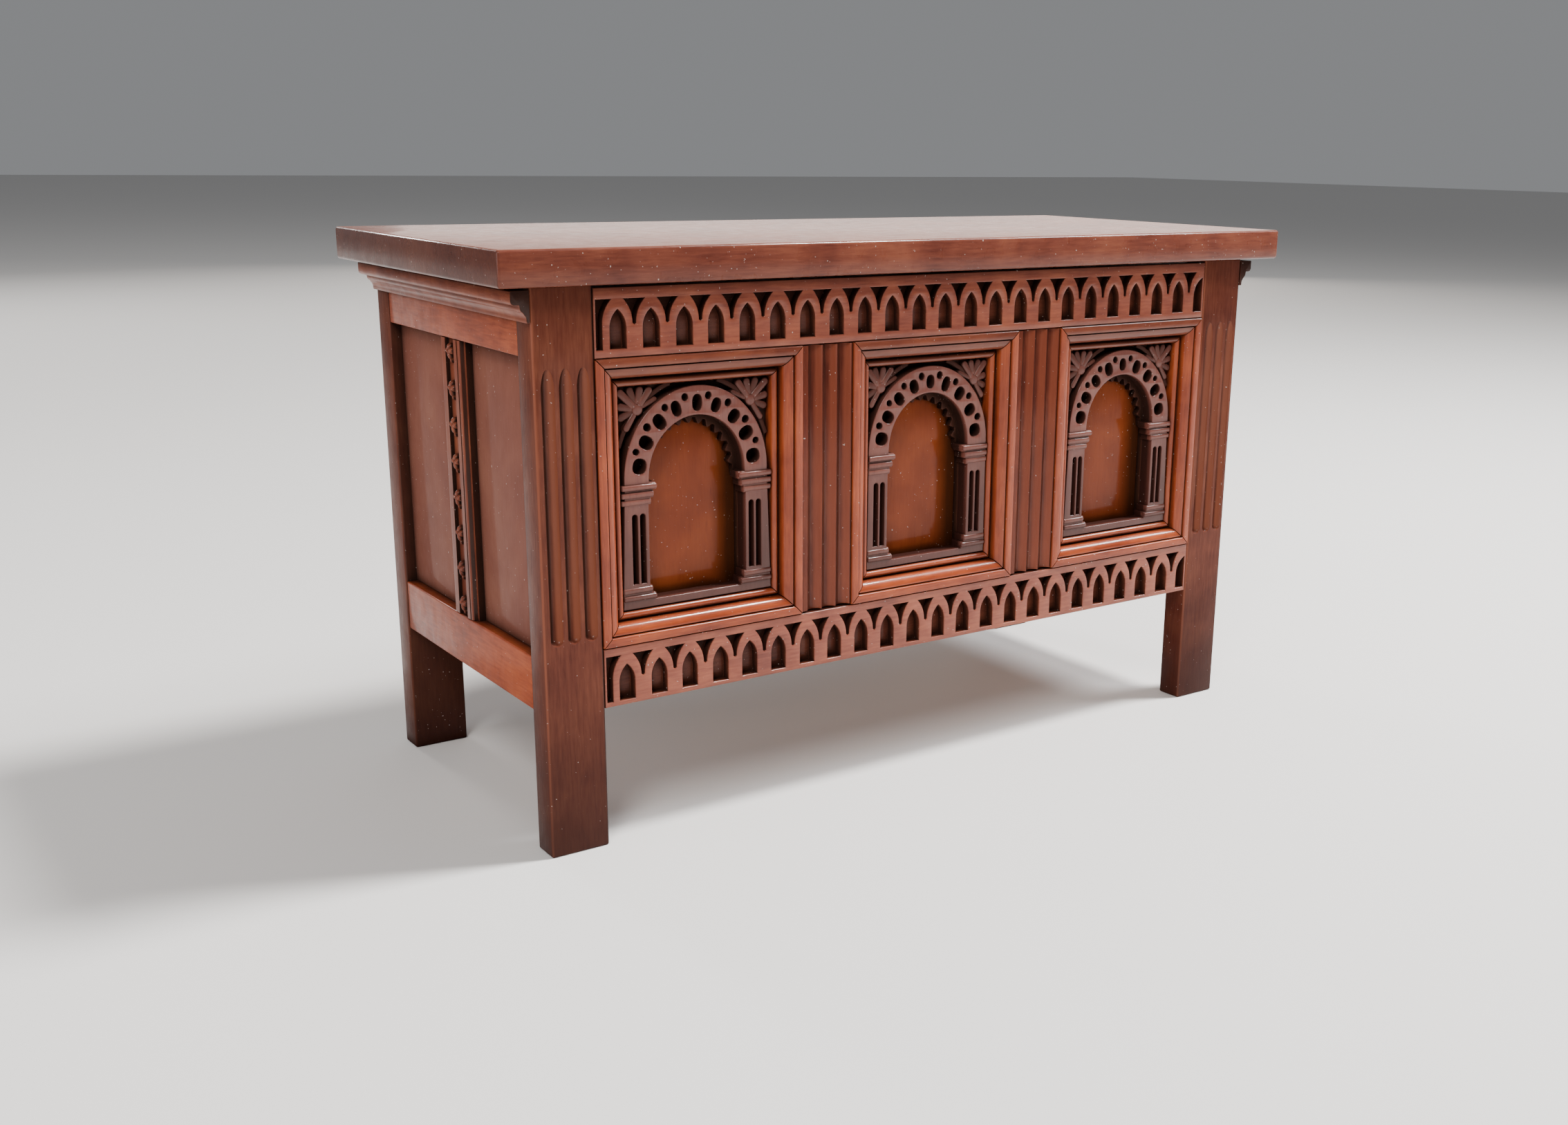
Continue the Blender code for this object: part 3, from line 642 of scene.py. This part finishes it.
def piece(name, meshes, surface, nodes, body="carcass", sharp=32):
    """Joins the meshes into one shown piece that stands for the CAD nodes."""
    mesh = joined(meshes) if isinstance(meshes, list) else meshes
    mesh.transform(Matrix.Scale(MM, 4))
    mesh.materials.clear()
    mesh.materials.append(surface)
    mesh.shade_smooth()
    mesh.set_sharp_from_angle(angle=math.radians(sharp))
    mesh.name = name
    made = bpy.data.objects.new(name, mesh)
    bpy.context.scene.collection.objects.link(made)
    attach(made, body)
    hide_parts(*nodes)


def cut_away(target, tool_mesh):
    """The target less the tool, both meshes in millimetres."""
    scene_objects = bpy.context.scene.collection.objects
    first = bpy.data.objects.new("target", target)
    second = bpy.data.objects.new("tool", tool_mesh)
    scene_objects.link(first)
    scene_objects.link(second)
    cut = first.modifiers.new("cut", "BOOLEAN")
    cut.object = second
    cut.operation = "DIFFERENCE"
    cut.solver = "EXACT"
    graph = bpy.context.evaluated_depsgraph_get()
    mesh = bpy.data.meshes.new_from_object(first.evaluated_get(graph))
    bpy.data.objects.remove(first)
    bpy.data.objects.remove(second)
    return mesh


# Plain boards ------------------------------------------------------------------------


def plain_boards():
    """Back, floor and side pieces that are simple boards: node, kind, grain, edge easing."""
    rows = [
        ("leg_back_left", "back_leg", "Z", 0.25),
        ("leg_back_right", "back_leg", "Z", 0.25),
        ("back_top_rail", "frame", "X", 0.12),
        ("back_bottom_rail", "frame", "X", 0.12),
        ("back_panel", "bare", "X", 0.05),
        ("floor_board", "bare", "X", 0.08),
    ]
    for side in ("left", "right"):
        rows.append((f"side_{side}_top_rail", "frame", "Y", 0.1))
        rows.append((f"side_{side}_bottom_rail", "frame", "Y", 0.15))
        rows.append((f"side_{side}_panel_front", "panel", "Z", 0.05))
        rows.append((f"side_{side}_panel_back", "panel", "Z", 0.05))
    for node, kind, along, ease in rows:
        piece("wood_" + node, board(*limits(node), ease, 3), wood(kind, along), [node])


# Front -------------------------------------------------------------------------------


def flute(x, y):
    """A cutter for a leg's round-bottomed flute, which fades out at the top."""
    low, high = LEG_FLUTE_Z
    radius = struck(FLUTE_CUT, FLUTE_WIDTH / 2)[0]
    bm = bmesh.new()
    bmesh.ops.create_uvsphere(bm, u_segments=28, v_segments=14, radius=radius)
    stretch = (high - low) / 2 - radius
    for vertex in bm.verts:
        if vertex.co.z > 1e-6:
            vertex.co.z = stretch - radius * (FLUTE_FADE - 1) + vertex.co.z * FLUTE_FADE
        elif vertex.co.z < -1e-6:
            vertex.co.z -= stretch
        vertex.co += Vector((x, y + FLUTE_CUT - radius, (low + high) / 2))
    mesh = bpy.data.meshes.new("flute")
    bm.to_mesh(mesh)
    bm.free()
    return mesh


def front_legs():
    """Planks with three flutes each."""
    for side in ("left", "right"):
        node = f"leg_front_{side}"
        x, y, z = limits(node)
        middle = sum(x) / 2 + FLUTE_OFFSET
        flutes = [flute(middle + i * FLUTE_PITCH, y[0]) for i in (-1, 0, 1)]
        carved = cut_away(board(x, y, z, 0.22, 3), joined(flutes))
        piece("fluted_" + node, carved, wood("leg", "Z"), [node], sharp=40)


def lancet(x, foot, width):
    """A pointed opening: straight sides, then two arcs struck from each other's springing."""
    spring = foot + LANCET_HEIGHT - LANCET_RISE
    half = width / 2
    radius, sweep = struck(half, LANCET_RISE)
    right = arc((x + half - radius, spring), radius, 0, sweep, 8)
    left = arc((x - half + radius, spring), radius, 180 - sweep, 180, 8)
    return [(x - half, foot), (x + half, foot)] + right + left[1:]


def spandrel(x, foot):
    """The sunk three-cornered field between two arches."""
    tip = foot + SPANDREL_FOOT
    radius, sweep = struck(SPANDREL_HALF - SPANDREL_TIP, SPANDREL_HEIGHT)
    right = arc((x + SPANDREL_TIP + radius, tip), radius, 180, 180 - sweep, 8)
    left = arc((x - SPANDREL_TIP - radius, tip), radius, sweep, 0, 8)
    return [(x, tip - SPANDREL_DROP)] + right + left


def end_recesses(x, foot):
    """A sunk strip that curves into half a spandrel at the left, and half a lancet at the right."""
    start = x[0] + ARCADE_MARGIN
    first = ARCADE_FIRST_X - ARCADE_PITCH / 2 + SPANDREL_TIP
    tip = foot + SPANDREL_FOOT
    radius, sweep = struck(SPANDREL_HALF - SPANDREL_TIP, SPANDREL_HEIGHT)
    left = [(start, foot), (first, foot)]
    left += arc((first + radius, tip), radius, 180, 180 - sweep, 8)
    left += [(start, tip + SPANDREL_HEIGHT)]
    end = x[1] - ARCADE_MARGIN
    half = LANCET_WIDTH / 2
    near = ARCADE_FIRST_X + ARCADE_COUNT * ARCADE_PITCH - half
    spring = foot + LANCET_HEIGHT - LANCET_RISE
    radius = struck(half, LANCET_RISE)[0]
    sweep = math.degrees(math.acos((end - (near + radius)) / radius))
    right = [(near, foot), (end, foot)]
    right += arc((near + radius, spring), radius, sweep, 180, 6)
    return [left, right]


def arcade_rail(name, foot):
    """A front rail: a carved layer with every opening cut through, on the ground of the carving."""
    x, y, z = limits(name)
    rng = random.Random(name)

    def wander(most=ARCADE_WANDER):
        return rng.uniform(-most, most)

    outlines = [rectangle(x, z)]
    for i in range(ARCADE_COUNT):
        at = ARCADE_FIRST_X + i * ARCADE_PITCH + wander()
        width = LANCET_WIDTH + wander(LANCET_WANDER)
        outlines.append(lancet(at, foot + wander(), width))
    first = ARCADE_FIRST_X - ARCADE_PITCH / 2
    for i in range(1, ARCADE_COUNT + 1):
        outlines.append(spandrel(first + i * ARCADE_PITCH + wander(), foot))
    outlines += end_recesses(x, foot)
    carved = upright(outlines, (y[0], y[0] + ARCADE_CUT + 0.2), ARCADE_EASE, 3)
    ground = board(x, (y[0] + ARCADE_CUT, y[1]), z, 0.05)
    piece("carved_" + name, [carved, ground], wood("rail", "X"), [name])


def front_muntins():
    """Full-height flutes that meet in soft arrises."""
    for side in ("left", "right"):
        node = f"front_muntin_{side}"
        x, y, z = limits(node)
        middle = sum(x) / 2 + MUNTIN_FLUTE_OFFSET
        radius, sweep = struck(MUNTIN_FLUTE_CUT, MUNTIN_FLUTE_WIDTH / 2)
        outline = [(x[0], y[1]), (x[0], y[0])]
        for i in (-1, 0, 1):
            centre = (middle + i * MUNTIN_FLUTE_PITCH, y[0] + MUNTIN_FLUTE_CUT - radius)
            outline += arc(centre, radius, 90 + sweep, 90 - sweep, 9)
        outline += [(x[1], y[0]), (x[1], y[1])]
        fluted = lying([outline], z, 0.02)
        piece("fluted_" + node, fluted, wood("muntin", "Z"), [node], sharp=40)


def moulding_profile(back):
    """(distance in from the outer edge, depth): fillet, groove, ovolo, hollow and low bead."""
    bend = 0.16
    low = MOULDING_FRONT + bend
    corner = [(u, low - v) for u, v in arc((bend, 0.0), bend, 180, 90, 4)]
    inner_corner = [(u, low - v) for u, v in arc((0.78, 0.0), bend, 90, 5, 4)]
    face = [(0.0, back)] + corner + inner_corner + [(0.96, 0.5), (1.05, 0.5)]
    ovolo = [(1.07 + u, 1.05 - 0.86 * v) for u, v in arc((0, 0), 1.02, 88, 6, 12)]
    hollow = [(2.12, 1.28), (2.16, 1.72), (2.26, 1.72)]
    bead = [(2.66 + 0.39 * u, 1.66 - 0.46 * v) for u, v in arc((0, 0), 1.0, 175, 5, 10)]
    return face + ovolo + hollow + bead + [(MOULDING_WIDTH, back)]


def moulding_strip(node):
    """One mitred strip of bay moulding, wherever its CAD node lies."""
    x, y, z = limits(node)
    side = node.rsplit("_", 1)[1]
    turn, place, axis = {
        "bottom": (0, (sum(x) / 2, Y_FRONT, z[0]), "X"),
        "left": (90, (x[0], Y_FRONT, sum(z) / 2), "Z"),
        "top": (180, (sum(x) / 2, Y_FRONT, z[1]), "X"),
        "right": (270, (x[1], Y_FRONT, sum(z) / 2), "Z"),
    }[side]
    length = (z[1] - z[0]) if axis == "Z" else (x[1] - x[0])
    half = length / 2
    mesh = plate([moulding_profile(y[1] - Y_FRONT)], length, 0.0)
    for vertex in mesh.vertices:
        inward, depth, along = vertex.co
        vertex.co = (along * (half - inward - MITRE_GAP) / half, depth, inward)
    mesh.transform(Matrix.Translation(place) @ Matrix.Rotation(math.radians(turn), 4, "Y"))
    bm = bmesh.new()
    bm.from_mesh(mesh)
    bmesh.ops.recalc_face_normals(bm, faces=bm.faces)
    bm.to_mesh(mesh)
    bm.free()
    # The top strip takes the darker wood: painted shade under the lid
    surface = wood("top_moulding" if side == "top" else "moulding", axis)
    piece("wood_" + node, mesh, surface, [node], sharp=38)


# Pierced arches ----------------------------------------------------------------------


def arch_curve(x, radius, start, end, steps):
    """Points along one of the arch's slightly stilted curves."""
    points = arc((0, 0), radius, start, end, steps)
    return [(x + u, SPRING_Z + ARCH_STRETCH * v) for u, v in points]


def arch_opening(x):
    """Arch, stepped capitals, shafts and stepped bases, mirrored."""
    half = OPENING_STEPS + [(RING_INNER, OPENING_STEPS[-1][1])]
    outline = half + arch_curve(0, RING_INNER, 0, 180, 48) + [(-u, v) for u, v in reversed(half)]
    return [(x + u, v) for u, v in outline]


def toothed_opening(x):
    """The lip's opening: a row of small pointed teeth round the arch."""
    points = []
    for i in range(LIP_TEETH * 2 + 1):
        angle = 180 * i / (LIP_TEETH * 2)
        radius, flat = (LIP_TIP, 1.2) if i % 2 else (LIP_VALLEY, 1.6)
        points += arch_curve(x, radius, angle - flat, angle + flat, 1)
    side = [(SHAFT_INNER, 25.0), (SHAFT_INNER, 36.5), (LIP_VALLEY, CAPITAL_Z)]
    left = [(x - u, v) for u, v in reversed(side)]
    return [(x + u, v) for u, v in side] + points + left


def oval(centre, radial, across, angle, points=20, power=2.4):
    """A rounded hole whose long axis points away from the arch's centre."""
    lean = math.radians(angle)
    outline = []
    for i in range(points):
        turn = 2 * math.pi * i / points
        c, s = math.cos(turn), math.sin(turn)
        r = radial * math.copysign(abs(c) ** (2 / power), c)
        t = across * math.copysign(abs(s) ** (2 / power), s)
        outline.append((
            centre[0] + r * math.cos(lean) - t * math.sin(lean),
            centre[1] + r * math.sin(lean) + t * math.cos(lean),
        ))
    return outline


def ring_holes(x, rng):
    """Large ovals round the ring, with a small hole between each two."""
    holes = []
    step = HOLE_SWEEP / (LARGE_HOLES - 1)
    for i in range(LARGE_HOLES):
        angle = 90 - HOLE_SWEEP / 2 + step * i + rng.uniform(-0.8, 0.8)
        lift = abs(math.sin(math.radians(angle)))
        at = arch_curve(x, LARGE_HOLE_RADIUS, angle, angle, 1)[0]
        across = LARGE_HOLE - 0.24 * lift + rng.uniform(-0.05, 0.05)
        holes.append(oval(at, LARGE_HOLE + rng.uniform(-0.06, 0.06), across, angle))
        if i:
            between = angle - step / 2
            small = SMALL_HOLE + rng.uniform(-0.05, 0.03)
            at = arch_curve(x, SMALL_HOLE_RADIUS, between, between, 1)[0]
            holes.append(oval(at, small, small * 0.92, between, 14, 2.0))
    return holes


def shaft_slots(x):
    """Two slots with round heads through each shaft."""
    low, high = SLOT_Z
    outline = [(-SLOT_HALF, low), (SLOT_HALF, low)] + arc((0, high), SLOT_HALF, 0, 180, 10)
    places = [x + sign * u for sign in (-1, 1) for u in SLOT_PLACES]
    return [[(at + du, v) for du, v in outline] for at in places]


def ring_plate(x, half, rng):
    """The upper layer: pierced ring, capitals, shafts, bases and sill, in one outline."""
    outer = [(x - half, SILL_Z), (x + half, SILL_Z), (x + RING_OUTER, CAPITAL_Z)]
    outer += arch_curve(x, RING_OUTER, 0, 180, 64)
    outer += [(x - RING_OUTER, CAPITAL_Z)]
    y = (front(FRET_FRONT), front(FRET_FRONT + FRET_LAYER))
    outlines = [outer, arch_opening(x)] + ring_holes(x, rng) + shaft_slots(x)
    return upright(outlines, y, FRET_EASE, 3)


def capital_bands(x, half):
    """Raised bands over the capitals and bases."""
    bands = []
    for sign in (-1, 1):
        for inner, low, high, proud in BANDS:
            span = sorted((x + sign * inner, x + sign * half))
            y = (front(FRET_FRONT - proud), front(FRET_FRONT + 0.6))
            bands.append(board(span, y, (low, high), BAND_EASE, 4))
    return bands


def finger(start, end, width, depth):
    """A rounded, tapering lobe of a leaf."""
    along = Vector(end) - Vector(start)
    angle = math.degrees(math.atan2(along.y, along.x))
    outline = arc(end, width / 2, angle - 90, angle + 90, 8)
    outline += arc(start, width * 0.42, angle + 90, angle + 270, 6)
    return upright([outline], (front(depth), front(depth + 0.9)), 0.16, 3)


def corner_leaf(x, sign, half):
    """A leaf whose broad lobes spread from a knot by the arch into the corner."""
    u, v = LEAF_KNOT
    meshes = []
    for i, (angle, length, width) in enumerate(LEAF_LOBES):
        way = math.radians(angle)
        near = (u + 0.55 * math.cos(way), v + 0.55 * math.sin(way))
        far = (u + length * math.cos(way), v + length * math.sin(way))
        far = (min(far[0], half - width / 2), min(far[1], LEAF_TOP - width / 2))
        ends = [(x + sign * along, up) for along, up in (near, far)]
        meshes.append(finger(*ends, width, LEAF_DEPTH + 0.06 * (i % 3)))
    knot = oval((x + sign * u, v), LEAF_KNOT_RADIUS, LEAF_KNOT_RADIUS, 0, 20, 2.0)
    knot_y = (front(LEAF_DEPTH - 0.1), front(LEAF_DEPTH + 0.8))
    meshes.append(upright([knot], knot_y, 0.25, 4))
    return meshes


def corner_field(x, sign, half, top):
    """The sunk field behind a corner leaf, and the rib that follows the arch."""
    edge = RING_OUTER + 0.5
    low = math.degrees(math.acos(half / edge)) + 0.5
    high = math.degrees(math.asin((top - SPRING_Z) / ARCH_STRETCH / edge)) - 0.5
    field = arch_curve(0, edge, low, high, 16) + [(half, top)]
    rib = arch_curve(0, edge + 0.5, low + 12, high - 5, 14)
    rib += arch_curve(0, edge, high - 5, low + 12, 14)
    field_y = (front(FRET_FRONT + 1.05), front(FRET_FRONT + FRET_LAYER))
    rib_y = (front(FRET_FRONT + 0.6), front(FRET_FRONT + 1.2))
    return [
        upright([[(x + sign * u, v) for u, v in field]], field_y, LIP_EASE),
        upright([[(x + sign * u, v) for u, v in rib]], rib_y, FRET_EASE),
    ]


def arch_fret(bay):
    """A bay's pierced arch, and the thinner toothed lip behind it."""
    node = f"arch_{bay}"
    x, y, z = limits(node)
    middle = sum(x) / 2
    half = (x[1] - x[0]) / 2
    rng = random.Random(node)
    meshes = [ring_plate(middle, half, rng)] + capital_bands(middle, half)
    lip = [rectangle(x, z), toothed_opening(middle)]
    lip_mesh = upright(lip, (front(FRET_FRONT + FRET_LAYER - 0.1), y[1]), LIP_EASE)
    for sign in (-1, 1):
        meshes += corner_field(middle, sign, half, z[1])
    for sign in (-1, 1):
        meshes += corner_leaf(middle, sign, half)
    piece("carved_" + node, meshes, wood("carved", "Z"), [node])
    piece("lip_" + node, lip_mesh, wood("lip", "Z"), [node])


def ground_panels():
    """The plain boards behind the arches."""
    for bay in BAYS:
        node = f"panel_{bay}"
        surface = wood("ground", "Z")
        piece("wood_" + node, board(*limits(node), 0.1), surface, [node])


# Sides -------------------------------------------------------------------------------


def trefoil(y, z, face, sign):
    """Three round lobes over a pointed tail, lying in the channel."""
    base = face - sign * CHANNEL_DEPTH
    return [
        ball((base + sign * out, y + dy, z + dz), radii) for dy, dz, out, radii in TREFOIL_LOBES
    ]


def side_muntins():
    """Moulded uprights with a row of trefoils in a channel."""
    for side, sign in (("left", -1), ("right", 1)):
        node = f"side_{side}_muntin"
        x, y, z = limits(node)
        face = x[0] if sign < 0 else x[1]
        low = -(y[1] - y[0]) / 2
        middle = sum(y) / 2
        channel = CHANNEL_WIDTH / 2
        steps = [(low, x[1] - x[0]), (low, 0.55), (low + 0.4, 0.55), (low + 0.5, 0.3)]
        steps += arc((low + 0.75, 0.3), 0.25, 180, 270, 5)
        steps += [(low + 1.0, 0.05), (low + 1.0, 0.25), (low + 1.12, 0.25), (low + 1.12, 0.0)]
        steps += [(-channel, 0.0), (-channel, CHANNEL_DEPTH)]
        profile = steps + [(-u, depth) for u, depth in reversed(steps)]
        outline = [(face - sign * depth, middle + u) for u, depth in profile]
        meshes = [lying([outline], z, 0.03)]
        for i in range(TREFOIL_COUNT):
            meshes += trefoil(middle, TREFOIL_TOP_Z - i * TREFOIL_PITCH, face, sign)
        surface = wood("side_muntin", "Z")
        piece("carved_" + node, meshes, surface, [node], sharp=42)


def cornices():
    """A crown moulding along each side: a rounded fascia over an ogee."""
    for side, sign in (("left", -1), ("right", 1)):
        node = f"cornice_{side}"
        x, y, z = limits(node)
        out = x[1] - x[0]
        low, top = z
        outline = [(0.0, low), (0.0, top), (out - 0.1, top)]
        outline += arc((out - 0.1, top - 0.1), 0.1, 90, 0, 3)
        outline += arc((out - 0.4, top - 0.95), 0.4, 0, -90, 8)
        outline += [(1.05, top - 1.36), (1.0, top - 1.45), (1.0, top - 1.62)]
        outline += arc((0.5, top - 1.62), 0.48, 0, -65, 8)
        outline += arc((0.95, low + 0.32), 0.6, 135, 190, 5)
        outline += [(0.3, low)]
        start = x[1] if sign < 0 else x[0]
        strip = upright([[(start + sign * u, v) for u, v in outline]], y, 0.03)
        piece("wood_" + node, strip, wood("cornice", "Y"), [node], sharp=38)


# Lid and hinges ----------------------------------------------------------------------


def lid():
    """A thick board with soft edges."""
    node = "lid_board"
    mesh = board(*limits(node), 0.32, 4)
    piece("wood_" + node, mesh, wood("lid", "X"), [node], body="lid", sharp=50)


def hinges():
    """The leaves keep their CAD shape, and the pins and nails get rounded ends."""
    for side in ("left", "right"):
        for part in ("body_leaf", "lid_leaf"):
            node = frame["nodes"][f"hinge_{side}_{part}"]
            node.data.materials.clear()
            node.data.materials.append(brass)
            soften = node.modifiers.new("soft_edges", "BEVEL")
            soften.width = 0.04 * MM
            soften.segments = 2
            soften.limit_method = "ANGLE"
            soften.angle_limit = math.radians(40)
        name = f"hinge_{side}_pin"
        x, y, z = limits(name)
        centre = (sum(x) / 2, sum(y) / 2, sum(z) / 2)
        pin = rod((z[1] - z[0]) / 2, x[1] - x[0], centre)
        piece("round_" + name, pin, brass, [name])
        for end in ("a", "b"):
            name = f"hinge_{side}_body_nail_{end}"
            x, y, z = limits(name)
            centre = (sum(x) / 2, y[0], sum(z) / 2)
            radius = (x[1] - x[0]) / 2
            dome = ball(centre, (radius, y[1] - y[0], radius), segments=20)
            piece("domed_" + name, dome, brass, [name])


# Stage -------------------------------------------------------------------------------


def stage():
    """A pale floor and soft studio light."""
    floor_nodes = Nodes("pale_floor")
    floor_nodes.shader.inputs["Base Color"].default_value = FLOOR_COLOUR
    floor_nodes.shader.inputs["Roughness"].default_value = 0.75
    bm = bmesh.new()
    bmesh.ops.create_grid(bm, x_segments=1, y_segments=1, size=3.0)
    mesh = bpy.data.meshes.new("floor")
    bm.to_mesh(mesh)
    bm.free()
    mesh.materials.append(floor_nodes.material)
    floor = bpy.data.objects.new("floor", mesh)
    bpy.context.scene.collection.objects.link(floor)
    world = bpy.data.worlds.new("studio")
    world.use_nodes = True
    background = world.node_tree.nodes["Background"]
    background.inputs["Color"].default_value = SKY_COLOUR
    background.inputs["Strength"].default_value = SKY_STRENGTH
    bpy.context.scene.world = world
    for row in LAMPS:
        lamp(*row)


def lamp(name, location, size, power, colour):
    """A round soft lamp turned towards the object."""
    data = bpy.data.lights.new(name, "AREA")
    data.shape = "DISK"
    data.size = size
    data.energy = power
    data.color = colour
    light = bpy.data.objects.new(name, data)
    light.location = location
    ahead = Vector(LAMP_TARGET) - Vector(location)
    light.rotation_euler = ahead.to_track_quat("-Z", "Y").to_euler()
    bpy.context.scene.collection.objects.link(light)


def camera():
    """The camera, from its place and its turns."""
    data = bpy.data.cameras.new("camera")
    data.sensor_width = 36.0
    data.lens = CAMERA_LENS
    data.shift_x, data.shift_y = CAMERA_SHIFT
    data.clip_start = 0.005
    yaw, pitch, roll = (math.radians(a) for a in (CAMERA_YAW, CAMERA_PITCH, CAMERA_ROLL))
    flat = math.cos(pitch)
    ahead = Vector((math.sin(yaw) * flat, math.cos(yaw) * flat, -math.sin(pitch)))
    level = Vector((math.cos(yaw), -math.sin(yaw), 0.0))
    above = level.cross(ahead)
    right = level * math.cos(roll) + above * math.sin(roll)
    up = right.cross(ahead)
    basis = Matrix((right, up, -ahead)).transposed().to_4x4()
    made = bpy.data.objects.new("camera", data)
    made.matrix_world = Matrix.Translation(Vector(CAMERA_MM) * MM) @ basis
    bpy.context.scene.collection.objects.link(made)
    bpy.context.scene.camera = made


def main():
    camera()
    stage()
    plain_boards()
    front_legs()
    arcade_rail("front_top_rail", TOP_LANCET_FOOT)
    arcade_rail("front_bottom_rail", BOTTOM_LANCET_FOOT)
    front_muntins()
    ground_panels()
    for bay in BAYS:
        arch_fret(bay)
        for side in ("top", "bottom", "left", "right"):
            moulding_strip(f"moulding_{bay}_{side}")
    side_muntins()
    cornices()
    lid()
    hinges()


main()
